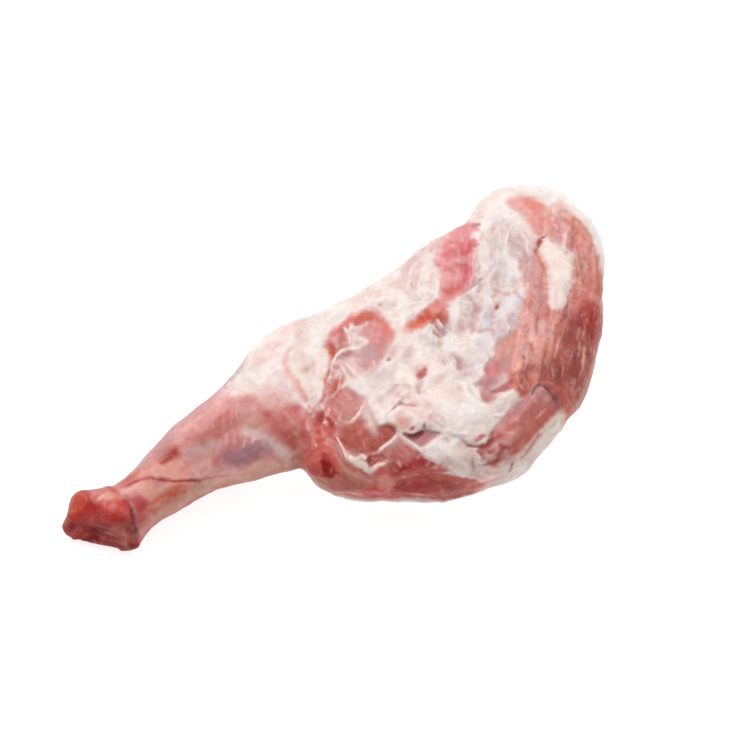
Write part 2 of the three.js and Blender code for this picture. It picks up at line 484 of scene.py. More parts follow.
def paint_limb_upper(s):
    """The red muscle beside the elbow, and the fat and folds over the top of the shank."""
    s.patch("blush fat", [(-92, 60), (-86, 46), (-78, 38), (-68, 33), (-66, 22), (-58, 17), (-50, 16),
        (-46, 8), (-42, 8), (-30, 60)], soft=5, ragged=2.5, strength=0.9)
    s.patch("pale membrane", [(-70, 34), (-52, 20), (-46, 26), (-52, 34), (-62, 38)], soft=5)
    s.patch("muscle", [(-70, 19), (-62, 16), (-47, 2), (-54, -20), (-70, -10)], soft=5, ragged=2.5)
    s.patch("rose", [(-90, 30), (-78, 36), (-54, 24), (-48, 10), (-68, 18), (-84, 18)], soft=5,
        ragged=2.5, strength=0.45)
    s.strokes("cut red", [((3, 5), (-68, 17), (-66, 8), (-64, -14)), ((1.6, 3), (-60, 8), (-62, 0),
        (-61, -10))], strength=0.5, soft=2.4)
    s.strokes("salmon", [((2, 3), (-57, 12), (-55, -5)), ((1.4, 2), (-52.5, 8), (-53, 0), (-56, -9)),
        ((1, 1.6), (-65, 15), (-62, 12), (-60, 15))], strength=0.7, soft=1.2)
    s.dabs("light muscle", [(-60, 5, 5, 10, 0)], strength=0.4)
    s.strokes("olive beige", [((2, 4), (-59, -6), (-58, -14), (-61, -23))], strength=0.7, soft=1.6)
    s.patch("brown muscle", [(-72, -22), (-62, -20), (-56, -22), (-62, -34), (-76, -34)], soft=2.5,
        strength=0.7)
    s.patch("cream", [(-80, 70), (-72, 46), (-48, 34), (-30, 30), (-26, 80)], soft=6, ragged=3,
        strength=0.9)
    # Greyer fat along the far edge, where the top turns away: partly painted shade.
    s.patch("grey shaded fat", [(-92, 50), (-66, 56), (-45, 67), (-24, 69), (-20, 74), (-60, 74)], soft=2.5)
    s.wrinkle([(-80, 70), (-72, 40), (-48, 24), (-40, 10), (-14, 34), (-4, 52), (0, 76), (-40, 80)], 0.45,
        turn=70)
    s.strokes("pale membrane", [((3, 5), (-27, 52), (-33, 49), (-37, 43), (-39, 34), (-40, 12))],
        strength=0.9, soft=2, height=-0.7)
    s.strokes("salmon", [((2.4, 3.4), (-37.5, 30), (-39.5, 12)), (2, (-36, 46), (-38, 38))],
        strength=0.55, soft=1.6)
    s.strokes("warm fat", [((5, 3), (-32, 36), (-31, 28), (-32, 20), (-34, 12))], strength=0.7, soft=2.5)
    s.spot("olive beige", (-27, 32), (2.8, 2.4), soft=0.9, strength=0.6, height=-0.4)
    # Grey lines in the sunk creases of the fat: painted shade.
    s.strokes("grey shaded fat", [(2.2, (-24, 52.5), (-30, 51)), ((1.2, 2), (-14, 44), (-11, 40), (-12, 34)),
        ((2, 3), (-24, 44), (-26, 38)), (1.6, (-46, 44), (-38, 46), (-32, 44)), ((1.2, 2), (-20, 40),
        (-21, 32), (-25, 24))], soft=1.5, height=-0.4)
    # A pale ridge of membrane by the seam, with a painted highlight along it.
    s.strokes("blush fat", [((2, 4), (-45, 20), (-43.5, 12), (-42, 6), (-40, 0))], strength=0.95,
        soft=1.5, height=0.8)
    s.strokes("white fat", [(1.4, (-37, 12), (-34, 18)), (1.6, (-16, 40), (-17, 34), (-20, 28))],
        strength=0.9, height=0.5)
    s.strokes("pale membrane", [(3, (-25, 66), (-18, 66.5), (-8, 66)), (2, (-40, 56), (-30, 58))],
        strength=0.5, soft=2)


def paint_turned_edge_shade(s):
    """Painted shade: the shank tinted brown below and mauve above where it turns away from the sight lines.
    """
    turned_shade = smooth_step((0.62 - s.facing) / 0.55) * smooth_step((-50 - s.x) / 12)
    below = smooth_step((10 - s.y) / 14)
    every = np.arange(len(s.x))
    s.tint(every, 0.75 * turned_shade * below, "brown muscle")
    s.tint(every, 0.55 * turned_shade * (1 - below), "mauve")


def paint_knuckle(s):
    """The raw end of the shank, its torn edge, and the groove round it."""
    s.patch("crimson", [(-232, 10), (-205, 40), (-190, 34), (-182, 24), (-180, 12), (-180, -2),
        (-184, -16), (-192, -28), (-215, -16)], soft=1.5, strength=0.97, height=1.2, gloss=0.1)
    s.dabs("crimson", [(-204.6, 29, 6, 5, 0), (-192, -20, 7, 5, 0), (-222, 13, 4, 6, 0)], strength=0.4,
        height=1.6)
    s.patch("cut red", [(-224, 14), (-205, 32), (-197, 28), (-180, 14), (-180, -4), (-186, -22),
        (-196, -22), (-216, 0)], soft=2)
    s.patch("rust", [(-221, 17), (-212, 26), (-204, 32), (-199, 27), (-200, 21), (-214, 15)], soft=2.5,
        strength=0.6)
    s.patch("orange muscle", [(-211, 22), (-204.5, 30), (-200.5, 25.5), (-202, 20), (-207, 19)], soft=2.2,
        strength=0.75)
    s.dabs("blood", [(-213, 15.4, 3.6, 2.8, 20), (-195.6, 7, 3.4, 8, 0), (-204, 23, 5, 3, 40),
        (-190, 2, 3, 2.6, 0), (-202, 14, 3, 4, 0)])
    s.dabs("deep blood", [(-217, 12, 2.6, 3, 0), (-209, 5, 3, 3, 0), (-205.4, 0.6, 3.6, 3.4, 20),
        (-210, -2, 4, 2, -30), (-199, -4, 2, 5, 0)], strength=0.85, height=-0.5)
    s.dabs("dark blood", [(-206, 2, 2.4, 3.6, 25), (-216.4, 12.4, 1.6, 2, 0), (-209, -3, 3, 1.6, -30)],
        strength=0.4, height=-0.3)
    s.dabs("muscle", [(-218, 7, 1.6, 2.4, 20), (-212, 2, 1.6, 1, 20), (-204, -6, 2.2, 1.6, 20),
        (-203, 10, 1, 2.6, -40)], height=0.5)
    # Painted shade: a dark red line down the ridge between the end face and the side.
    s.strokes("deep blood", [((1.6, 2.6), (-198.4, 26.6), (-197.4, 20), (-198.6, 12), (-200, 4),
        (-200.6, -6))], soft=1.5, height=-0.7)
    # The side facing the light painted brighter wet red: partly its colour, partly painted light.
    s.patch("wet red", [(-195, 17), (-190, 14), (-184, 11), (-180.6, 6), (-182, 0), (-193, 6)], soft=2.4,
        strength=0.85, height=0.8)
    # Painted highlights on the side's rounded top: the pale salmon peak and patch, and the pale dabs.
    s.dabs("salmon", [(-188.4, 9.4, 2.4, 2, 0)], strength=0.55, height=0.3)
    s.patch("salmon", [(-196, 25), (-190, 25), (-183, 21), (-179.6, 15), (-180.6, 11), (-187, 12),
        (-197, 20)], soft=2.4, strength=0.75)
    s.dabs("pale membrane", [(-187.4, 17.6, 2.8, 2.4, -30), (-192, 19.6, 2, 1.2, -30)], height=0.4)
    s.dabs("wet red", [(-193.6, 22, 2, 1.6, 0), (-184, 12.6, 2, 1.4, 0)], strength=0.5)
    s.strokes("lean pink", [((2, 1.4), (-201, 27), (-189, 24), (-184, 21.6), (-179, 21.6))], strength=0.8,
        soft=1.2)
    s.dabs("deep blood", [(-197.6, 26, 1.6, 0.9, -10)])
    s.patch("brown muscle", [(-199, -3), (-193, -1), (-186, -3), (-184, -10), (-187, -17), (-193, -21),
        (-201, -13)], soft=2.2, ragged=1.4, strength=0.8, height=0.3)
    s.dabs("muscle", [(-194, -6, 2.4, 3, 20), (-189.6, -8, 1.6, 3, 10), (-192, -15, 3, 2, 30)],
        strength=0.7, height=0.3)
    s.dabs("deep blood", [(-186.4, -10, 1.2, 3, 10), (-198, -9, 1.4, 3, 40), (-189, -17.6, 2, 1.2, 0)],
        strength=0.65, height=-0.5)
    s.strokes("dark blood", [((1.4, 2.4), (-217, 3.4), (-213, -1), (-205.6, -8.4), (-199.6, -14),
        (-194.4, -19.6), (-188, -20.6))], soft=1.3)
    s.dabs("brick", [(-218.6, 5.4, 1.4, 1.6, 0), (-214, 0, 1.3, 1.3, 0), (-209.4, -4.4, 1.6, 1.3, 0),
        (-205, -8.6, 1.6, 1.2, 0), (-196, -18, 1.6, 1.3, 0)], strength=0.4, height=1.1)
    # The groove: painted shade in it, and a painted highlight along its lower edge in grey mauve.
    s.strokes("dark mauve", [((1, 2.2), (-176.8, 13), (-177.6, 7), (-179, 1)), ((2.2, 4.2), (-179, 1),
        (-180.8, -5), (-182.8, -10), (-184.4, -15.5))], strength=0.85, soft=0.9, height=-0.9, ragged=0.2)
    s.strokes("crevice shadow", [((0.8, 2.4), (-177.4, 9), (-179.4, 0), (-181.8, -6), (-184, -13))], soft=0.9,
        height=-0.4, ragged=0.2)
    s.strokes("grey mauve", [((0.8, 1.8), (-175.6, 6), (-177, -2), (-178.6, -8), (-181, -14))],
        strength=0.5, height=0.3)
    s.patch("orange muscle", [(-211, 30), (-204, 32), (-199, 26), (-203, 20), (-210, 22)], ragged=1.5,
        strength=0.45)
    s.patch("wet red", [(-206, 16), (-198, 16), (-194, 10), (-199, 4), (-206, 8)], ragged=1.5,
        strength=0.35)


def paint_shank_low(s):
    """The narrow of the shank: its vein, its red hollow and its drier patch."""
    s.patch("salmon", [(-182, 23), (-166, 20), (-156, 15), (-148, 6), (-134, 4), (-132, 14), (-146, 22),
        (-164, 26), (-180, 27)], strength=0.7)
    # A raised band, salmon with pale strokes, above the vein: a painted highlight on the rise.
    s.patch("salmon", [(-180, 19), (-168, 18), (-160, 15), (-156, 10), (-164, 8), (-174, 11)], soft=2.5,
        height=0.4)
    s.strokes("pale membrane", [(2.4, (-177, 16), (-168, 14)), (1.8, (-166, 12), (-161, 9))], soft=1.8,
        height=0.3)
    s.patch("muscle", [(-176, 23), (-160, 27), (-164, 21), (-172, 20)], soft=2, strength=0.6)
    s.patch("salmon", [(-170, 10), (-158, 10), (-138, 1), (-142, -4), (-156, -4), (-168, 2)],
        strength=0.75)
    s.patch("crimson", [(-176, 8), (-170, 9), (-167, 3), (-170, -4), (-176, -4)], soft=3.2, ragged=1.6,
        strength=0.6, height=-0.5)
    s.patch("muscle", [(-172, -2), (-162, -1), (-150, 2), (-140, 0), (-144, -6), (-158, -7), (-170, -8)],
        ragged=1.5, strength=0.65)
    s.patch("rust", [(-164, -1), (-148, 2), (-142, 0), (-148, -4), (-158, -5)], ragged=1.8, strength=0.7)
    s.patch("olive beige", [(-166, 5), (-158, 6), (-150, 4), (-152, 1), (-162, 2)], soft=2.5,
        strength=0.4)
    s.patch("cut red", [(-180, -3), (-175, -3), (-173, -9), (-177, -13), (-182, -12)], soft=2.4,
        strength=0.6, height=-0.5)
    s.strokes("olive beige", [((2, 3), (-178, -12), (-168, -11), (-154, -11)), (1.4, (-168, -3),
        (-160, -4))], strength=0.5, soft=1.6)
    s.strokes("muscle", [((3, 2.4), (-175, 19), (-168, 18.4), (-160, 16.6), (-155, 13.4), (-149, 8.6))],
        strength=0.5, soft=1.8, ragged=0.15)
    s.strokes("crimson", [((1, 1.4), (-172, 18.4), (-165, 17.6), (-158, 15.6), (-154, 12), (-150, 9),
        (-140, 2))], strength=0.7, height=-0.5, ragged=0.15)
    s.strokes("deep blood", [((1, 2.2), (-146, 6), (-141, 2.6), (-131, -3))], strength=0.8, height=-0.8,
        ragged=0.15)
    s.strokes("lean pink", [((2.6, 1), (-131, -3), (-124, -5), (-113, -10.5))], strength=0.8, height=-0.4,
        ragged=0.15)
    s.strokes("rose", [((1.4, 2.4), (-116, -9), (-108, -13), (-98, -17))], strength=0.5, soft=1.4,
        ragged=0.15)
    s.strokes("pale membrane", [((1, 1.6), (-138, 4), (-132, 1), (-124, -1)), (1.2, (-152, 14),
        (-144, 9))], strength=0.5, height=0.3)


def paint_elbow(s):
    """The wet knob at the crook with its pocket, and the cut muscle that runs on from it."""
    s.muscle("muscle", [(-70, -36), (-64, -30), (-50, -24), (-42, -20), (-37, -22), (-37.6, -30),
        (-39, -38), (-41, -42), (-38, -50), (-34, -60), (-31, -66), (-24, -71), (-10, -74), (2, -79),
        (12, -88), (20, -96), (24, -103), (12, -113), (-8, -110), (-40, -94), (-66, -68), (-76, -46)],
        soft=1, ragged=0.6, grain=0.3, turn=-55, fray=0.35)
    s.patch("brown muscle", [(-58, -48), (-42, -52), (-36, -64), (-40, -70), (-50, -66), (-60, -56)],
        ragged=1.5, strength=0.6)
    s.patch("muscle", [(-66, -60), (-48, -67), (-38, -75), (-10, -96), (-12, -108), (-40, -98),
        (-64, -76)], soft=4, strength=0, height=-3.2)
    s.patch("salmon", [(-45, -19), (-39, -21), (-39.6, -38), (-44, -42), (-47, -36), (-47, -26)], soft=2,
        strength=0.7)
    s.patch("beige", [(-44, -30), (-39, -36), (-41, -44), (-39, -54), (-34, -64), (-38, -67), (-44, -58),
        (-48, -46)], soft=2.6, ragged=1.5)
    s.patch("lean pink", [(-60, -44), (-53, -45), (-50, -52), (-56, -58), (-62, -54)], ragged=1.4,
        strength=0.4)
    s.patch("light muscle", [(-46, -21), (-40, -22), (-40, -40), (-34, -62), (-39, -64), (-46, -50),
        (-48, -36)], soft=2.6, ragged=1.2)
    s.strokes("dull fascia", [((1, 1.6), (-43, -22), (-42, -32), (-44, -40), (-45.6, -48), (-42, -57)),
        (1.2, (-40.4, -26), (-41, -36)), ((1, 1.6), (-48, -52), (-44, -61))], strength=0.35, soft=1.2,
        height=0.3)
    s.strokes("brown muscle", [(1.6, (-41.4, -25), (-43, -36), (-43, -46)), ((2, 3), (-36.6, -52),
        (-34, -60)), (2, (-44, -45), (-41, -52))], strength=0.5, soft=1.3, height=-0.4)
    s.patch("cut red", [(-26, -70), (-14, -76), (2, -86), (14, -98), (4, -101), (-10, -94), (-22, -84),
        (-28, -76)], ragged=1.2, strength=0.75)
    s.patch("blood", [(-50, -68), (-42, -67), (-27, -74), (-22, -79), (-30, -86), (-44, -82), (-54, -74)],
        soft=3.4, ragged=2.5, strength=0.85, gloss=0.7)
    s.patch("crimson", [(-27, -74), (-18, -75), (-10, -83), (-8, -92), (-16, -91), (-26, -83)], soft=2.4,
        ragged=1.5, strength=0.75)
    s.dabs("deep blood", [(-30, -79, 3, 1.6, 0), (-38, -76.6, 3.4, 1.4, -20), (-16, -83.6, 4, 1.8, -35),
        (-21, -75.6, 2, 1.2, -30)], strength=0.65, height=-0.3)
    s.patch("salmon", [(-32, -64), (-25, -65), (-22, -71), (-25, -76), (-31, -76), (-34, -70)], soft=2.4,
        ragged=1.2, strength=0.65)
    s.strokes("deep blood", [((1.4, 3), (-34, -80.6), (-27, -84)), ((2, 3), (-7, -98), (4, -103.5),
        (16, -106.5))], strength=0.7, soft=1.4)
    # Painted shade: a dark line in the deep crease across the cut muscle.
    s.strokes("dark muscle", [((1.2, 2.4), (-27, -87), (-13.6, -96.4), (-7, -100))], strength=0.75,
        soft=1.4, height=-1.8)
    s.strokes("pale rim", [((3.4, 1.4), (-68, -38), (-66, -48), (-61, -57), (-54, -66), (-48, -72)),
        (1.2, (-64, -40), (-61, -50))], soft=1.2)
    s.patch("wet red", [(-67, -32), (-63, -24), (-56, -20.6), (-48, -20), (-45, -26), (-46.6, -36),
        (-49, -44), (-55, -46), (-63, -43), (-67.6, -38)], soft=1.8, ragged=0.8, strength=0.95,
        height=1.2, gloss=0.8)
    s.patch("cut red", [(-66, -34), (-60, -33), (-56.6, -36), (-56, -44), (-63, -43)], soft=2.2,
        strength=0.6)
    # Painted shade: the first dab darkens the pocket's deep part.
    s.dabs("deep blood", [(-51.4, -37, 2, 6, -5), (-51, -24.6, 2.4, 1, -10), (-55.6, -34, 2, 1.2, 0)],
        strength=0.8, soft=0.6, height=-0.4)
    s.strokes("deep blood", [((2.4, 0.8), (-51.4, -43.6), (-50.6, -49))], strength=0.7, height=-0.6)
    s.strokes("salmon", [((1.4, 2.2), (-60, -28), (-55.6, -26.8), (-50.6, -26), (-48, -29)),
        (1, (-62, -25), (-57, -22.6))], strength=0.5, height=0.7)
    s.dabs("crimson", [(-57, -21, 2, 1, 20)], strength=0.5, height=-0.4)
    s.dabs("lean pink", [(-58, -28, 4, 3, 0)], strength=0.4)
    s.patch("lean pink", [(-61, -24), (-55, -24), (-53, -32), (-57, -36), (-61, -32)], soft=2.5,
        ragged=1.5, strength=0.35)


def paint_seam(s):
    """The crease from the arm muscles down to the crook, and the flesh that shows in it."""
    s.muscle("lean pink", [(-49, 8), (-43, 3), (-37, 2), (-33, -4), (-33, -14), (-36, -22), (-42, -24),
        (-52, -22), (-56, -16), (-52, -8), (-50, 0)], soft=2.2, height=-0.5, gloss=0.6, fray=0.6)
    s.patch("cut red", [(-56, -6), (-53, -8), (-53, -16), (-56, -20), (-59, -14)], soft=2, strength=0.4)
    s.patch("wet red", [(-47, -11), (-40, -11), (-38, -18), (-44, -21), (-52, -21)], soft=2.5,
        strength=0.55)
    s.dabs("crimson", [(-39, -5, 4, 2.4, 35), (-42.4, -7.6, 3, 1.8, 20), (-36.4, -12, 1.8, 4, 0)],
        height=-0.9)
    s.dabs("deep blood", [(-38.6, -4.6, 2, 1.2, 35), (-35.4, -8, 1, 1.4, 0)], strength=0.5, height=-0.4)
    s.patch("pink membrane", [(-46, 8), (-41, 6), (-37.6, 2), (-41, -2), (-46, -1), (-49, 2)], soft=1.8,
        strength=0.85, height=0.4)
    s.strokes("salmon", [((4, 2), (-45.6, 2), (-47, -5), (-52.6, -19)), ((2, 3), (-49, -15), (-45, -19),
        (-42, -24)), ((1, 1.6), (-43, -12), (-44, -18))], strength=0.65, soft=1.4, height=0.5)
    s.strokes("blush fat", [((4, 2), (-42.6, 8), (-41.4, 3), (-42, -1)), ((0.8, 1.4), (-38, -8),
        (-39, -12)), ((0.8, 1.2), (-47.6, -2), (-50, -9))], strength=0.75, soft=1.1, height=0.5)
    s.strokes("pink membrane", [((2.4, 3), (-38, 4), (-33, 5), (-27, 8))], strength=0.7, soft=1.4)
    s.strokes("orange muscle", [((2.4, 1.6), (-5, 37), (-9, 30), (-19.5, 18.5), (-23, 12.5), (-29, 7),
        (-35, 3))], strength=0.75, height=-1.3)
    s.strokes("brown muscle", [(1.2, (-12, 27), (-17, 21.5), (-21, 15.5), (-26, 10))], soft=0.8)
    s.strokes("blush fat", [((2.0, 1.2), (-9, 28.5), (-14, 23), (-19.5, 16.5), (-26, 9.5))],
        strength=0.75, soft=0.9, height=0.4)
    s.muscle("muscle", [(-27, 6), (-22, 12), (-17, 16), (-12, 14), (-10, 11), (-14, 8), (-20, 6.5)],
        soft=1.6, ragged=0.8, turn=40, fray=0.7)
    s.streak("salmon", [(-24, 9), (-18, 14), (-12, 20)], (1.4, 2.2), soft=1.4, strength=0.6)
    s.spot("rose", (-9.5, 23), (2.2, 1.6), soft=0.7, strength=0.9)
    s.streak("pale membrane", [(-9, 21), (-12, 13), (-17, 7), (-24, 4.5)], (1.2, 1.8), strength=0.75,
        height=0.5)


def paint_arm(s):
    """The arm muscles that show through the fascia on either side of the seam."""
    s.muscle("old rose", [(-8, 34), (-7.5, 40), (-3, 44), (3, 47), (12, 50), (24, 51), (34, 49), (38, 44),
        (38, 36), (37.5, 28), (36, 22), (31, 18.5), (26, 15), (20, 11.5), (12, 8), (4, 8), (-3, 12),
        (-8, 19), (-9, 27)], soft=2.4, ragged=1.4, height=-0.3, grain=0.12, turn=60, fray=1)
    s.patch("salmon", [(-8, 38), (-4, 43), (14, 50), (24, 51), (34, 49), (38, 42), (38, 26), (34, 20),
        (30, 24), (30, 40), (20, 43), (8, 44), (0, 42)], soft=2.4, ragged=1.4, strength=0.6)
    s.strokes("wet red", [((3, 5), (-3, 40), (3, 45.6), (11, 48), (20, 48.6), (29, 47), (34, 42),
        (36, 34), (36, 25))], strength=0.5, soft=2, ragged=0.6)
    s.dabs("lean pink", [(30, 34, 6, 10, 0), (24, 22, 8, 6, 30), (10, 12, 8, 4, 10)], strength=0.35)
    s.patch("muscle", [(17, 46), (24, 49), (32, 49), (34, 45), (30, 42.5), (18, 42)], soft=1.8,
        ragged=1.4, strength=0.62)
    s.patch("orange muscle", [(24, 48.5), (31, 48), (32, 44), (27, 42.5), (24, 45)], soft=2)
    s.patch("muscle", [(-8, 35), (-5, 34), (-1, 35), (8, 46), (10, 45), (8, 38), (3, 33), (-2, 31.6),
        (-6, 30.5)], soft=1.6, ragged=1.2, strength=0.6)
    s.dabs("blood", [(-5, 37, 2.6, 3.6, -20)], strength=0.45, height=-0.4)
    s.dabs("muscle", [(-5.4, 36.6, 2.4, 3.6, -20), (20.5, 44.5, 2, 1.8, 0), (13, 45.4, 1.6, 1, 30)],
        soft=0.8, height=-0.4)
    s.dabs("pink membrane", [(25.5, 36, 1.8, 1.2, 0), (23.6, 31.6, 1, 2.4, -30), (25.5, 31.5, 1, 2.2, 25),
        (25, 26, 1.4, 2.2, 10), (5, 36, 1.2, 1, 0), (29, 30, 1.4, 2, 0), (31, 38, 1.6, 2.4, 0)],
        strength=0.75, height=0.2)
    s.patch("grey mauve", [(4, 25), (19, 26), (20, 18), (14, 15), (8, 16), (4, 21)], soft=2.6, ragged=1.2,
        strength=0.55)
    s.patch("old rose", [(4, 15), (9, 17), (15, 14.6), (20, 13), (14, 9.6), (4, 10)], soft=2, ragged=1.2,
        strength=0.7)
    s.patch("pearl", [(3.4, 31.6), (7, 32.6), (9.4, 36), (10, 42), (10.6, 46.4), (12, 46), (12.4, 43.4),
        (14.4, 44.2), (17, 46.4), (18, 44.4), (22, 43), (27, 42.2), (26, 40.4), (20, 39), (17, 36.4),
        (21.4, 28.6), (16, 26.8), (9, 27)], soft=1.2, ragged=1.1, strength=0.72, height=0.35)
    s.strokes("grey mauve", [((1, 2), (9, 34), (12, 32), (14, 30)), (1.2, (14.6, 41), (16.4, 38)),
        ((1, 1.8), (12.6, 38), (12, 34)), (1.4, (18, 40.4), (21, 38.4))], soft=0.9, height=-0.4)
    s.strokes("blush fat", [((1, 1.6), (11, 46), (11.4, 42), (10.2, 37)), (1.2, (16.6, 46), (14.6, 43)),
        ((1.8, 1.2), (17, 33), (20, 27.8)), (1, (13, 36), (15, 39))], strength=0.8, soft=0.8, height=0.4)
    s.strokes("warm fat", [((2.2, 3), (-9.2, 25.6), (-7.2, 28.8), (-3, 30.6), (2.4, 31.4)), ((2.6, 2),
        (5, 30.6), (8, 28.4), (13, 27.4), (18, 28))], strength=0.8, soft=0.9, height=0.3)
    # A darker mauve band and brown strokes under the curled lip of membrane: painted shadow.
    s.patch("mauve", [(-7, 27.4), (-3, 29), (3, 29), (5, 26.6), (3, 23.4), (-2, 24)], soft=1.2,
        strength=0.6)
    s.strokes("brown muscle", [((1.4, 2), (-5, 28), (0, 29), (4.6, 27.6)), (1, (3, 34), (5, 34.6))],
        strength=0.4, soft=1.1, height=-0.7)
    s.patch("pearl", [(-10, 22), (-6, 26), (0, 25), (5, 20), (5, 12), (10, 6), (22, 0), (10, -8),
        (-8, -6)], ragged=1.8, strength=0.65)
    s.patch("pale membrane", [(-9, 18), (-4, 22), (2, 18), (3, 10), (-3, 6), (-9, 10)], ragged=1.5,
        strength=0.45)
    s.strokes("mauve", [((2, 2.6), (-3.6, 23), (-4.4, 17), (-4, 12)), ((1.6, 1.2), (-0.4, 24), (0.6, 18)),
        (1.4, (-8, 22), (-8.4, 14)), ((1.6, 2.4), (4.4, 16), (7, 12))], strength=0.5, soft=1.1)
    s.strokes("blush fat", [((2.2, 1.4), (-5, 26.4), (-7.4, 13), (-7, 5)), ((1.8, 1.2), (-1.6, 22),
        (-1.2, 15), (0, 8)), ((1.6, 1), (6, 20), (4, 21), (3, 24)), ((1, 1.6), (12, 8), (14.6, 13)),
        (1, (8, 9), (11, 12))], strength=0.75, height=0.35)
    s.dabs("pink membrane", [(-5, 25, 1.4, 1.8, 0), (2.4, 24.6, 1.4, 1.2, 0), (5, 19, 1.8, 2.2, 20)],
        strength=0.7, soft=0.8, height=0.3)
    s.dabs("rose", [(-10, 23, 1.6, 1.8, 0), (-14, 20, 1.4, 2.4, -30)], strength=0.8, soft=0.8,
        height=-0.3)
    s.dabs("mauve", [(24, 9, 2.2, 1.5, 10)], strength=0.95, soft=0.8, height=-0.5)
    s.dabs("bruise", [(24, 9, 1.4, 0.9, 10)], strength=0.5, soft=0.8)
    paint_between(s)
    paint_lips(s)
    paint_low_window(s)


def paint_between(s):
    """The two arm muscles below the seam, divided by a hooked fold of membrane."""
    s.muscle("brown muscle", [(-37, -21), (-33, -16), (-26, -17), (-16, -14), (-9, -13), (-8, -20),
        (-10, -28), (-8, -32), (-4, -33), (-1, -38), (-3, -43), (-10, -45.5), (-19, -47.5), (-28, -45),
        (-34, -41), (-37.5, -33)], soft=1.8, ragged=0.9, height=-0.8, grain=0.22, turn=75, gloss=0.55,
        fray=0.6)
    s.muscle("rose", [(-31, 2), (-22, 6), (-14, 6), (-10, 0), (-7, -10), (-12, -16), (-22, -19),
        (-31, -17), (-33, -8)], soft=2.6, ragged=1.4, height=-0.2, grain=0.2, turn=75, fray=0.9)
    s.patch("lean pink", [(-31, 1), (-20, 5), (-12, 2), (-10, -8), (-30, -12)], soft=4, ragged=2,
        strength=0.45)
    s.patch("mauve", [(-24, 2), (-16, 4), (-11, -4), (-16, -8), (-24, -5)], ragged=1.5, strength=0.35)
    s.dabs("light muscle", [(-21, -6, 8, 8, 0)], strength=0.4)
    s.patch("muscle", [(-34, -20), (-20, -18), (-15, -24), (-15, -40), (-24, -44), (-34, -38)],
        strength=0.75)
    s.patch("orange muscle", [(-32, -24), (-24, -22), (-20, -32), (-28, -38), (-34, -32)], soft=4,
        strength=0.25)
    s.patch("muscle", [(-14, -34), (-8, -33), (-2, -37), (-3, -43), (-14, -45)], soft=2.5, strength=0.8)
    # Painted shade beside the cream lip.
    s.patch("mauve", [(-38, -35), (-33, -37), (-25, -46), (-30, -46), (-36, -41)], soft=1.8,
        strength=0.65)
    s.patch("dull fascia", [(-14, -18), (-8, -13), (-6, -22), (-9, -30), (-14, -35), (-16, -28)],
        ragged=1.5, strength=0.8)
    s.patch("pale membrane", [(-11, -13), (-6, -14), (-5, -22), (-8, -29), (-13, -34), (-14, -27),
        (-12, -20)], soft=2.4, ragged=2)
    s.veil([(-12, -12), (-4, -14), (-4, -24), (-15, -37), (-16, -28)], 0.3, soft=3.5, ragged=2)
    s.strokes("pale membrane", [((1.2, 1.8), (-35, -18), (-31, -14), (-26, -10)), (1, (-24, 3),
        (-20, -4)), ((1.2, 2), (-29, -12), (-28, -16), (-25, -19), (-20, -18.5), (-14, -15.5),
        (-7, -10.5)), (1, (-30, 0), (-27, -8)), (1, (-15, 4), (-14, -4))], strength=0.65, height=0.4)
    s.spot("olive beige", (-24.5, -14.5), (3, 2), turn=20, strength=0.75, height=-0.4)
    # Painted shade: the first stroke is the lip's shadow, the others dark lines in creases at muscle edges.
    s.strokes("dark muscle", [((1.6, 2.2), (-36.4, -23), (-35.4, -31)), (1.2, (-22, -42), (-20, -47)),
        (1.2, (-6, -33), (-3, -37), (-3, -42)), (1.6, (-30, -43), (-26, -46))], strength=0.8, height=-0.8)
    s.strokes("salmon", [(1, (-19, -46), (-16, -41)), (1, (-14, -44), (-11, -38)), (0.9, (-26, -40),
        (-24, -35))], strength=0.5)


def paint_lips(s):
    """The cream edges of fascia that curl round the lower arm muscles."""
    s.strokes("blush fat", [((1.4, 2.6), (-37.5, -23), (-37.8, -30), (-40, -41))], strength=0.9, soft=0.9,
        height=1.2)
    s.fat("warm fat", [(-42, -39), (-38, -40), (-34, -43), (-30, -43.5), (-28, -46), (-29.5, -50),
        (-30, -57), (-31, -64), (-34, -60), (-40, -47)], soft=1.4, ragged=0.8, height=0.8)
    s.patch("olive beige", [(-42, -41), (-39, -45), (-36, -53), (-32, -62), (-35, -62), (-40, -50)],
        soft=1.8, strength=0.55)
    s.strokes("cream", [((2, 1.4), (-34, -44.5), (-30, -44), (-27.6, -46.4)), (1.6, (-34, -48),
        (-31, -55))], strength=0.9, soft=0.9, height=0.6)
    s.muscle("muscle", [(-29, -47), (-24, -47), (-19, -48.5), (-17, -54), (-20, -56), (-26, -55.5),
        (-29.5, -54)], soft=1.4, ragged=0.8, height=-0.8, grain=0.1, fray=0.4)
    s.patch("dark muscle", [(-30, -48), (-25, -48), (-22, -53), (-26, -56), (-30, -54)], soft=1.6,
        strength=0.75)
    s.strokes("pale membrane", [((0.8, 1.2), (-28, -52.5), (-24, -51), (-20, -50)), (0.9, (-26, -49),
        (-23, -54))], soft=0.8, height=0.4)
    s.muscle("lean pink", [(-31, -57), (-24, -58), (-18, -57), (-16, -64), (-20, -71), (-28, -73),
        (-33, -67)], soft=2.2, height=-0.1, grain=0.1, fray=0.7)
    s.strokes("blush fat", [((3, 2), (-30, -57), (-25, -56.2), (-20, -57.5))], strength=0.9, soft=1.1,
        height=0.6)
    s.spot("wet red", (-26.5, -61), (3, 3.4), turn=-10)
    s.patch("salmon", [(-31, -62), (-24, -72), (-30, -74), (-34, -68)], soft=2, strength=0.7)
    s.patch("mauve", [(-23, -59), (-17, -58), (-16, -64), (-21, -66)], soft=2, strength=0.55)
    s.strokes("blush fat", [((2.6, 2), (-20, -47.6), (-15, -46), (-9, -45.6), (-5, -44.4), (-1, -41))],
        strength=0.9, height=1.0)


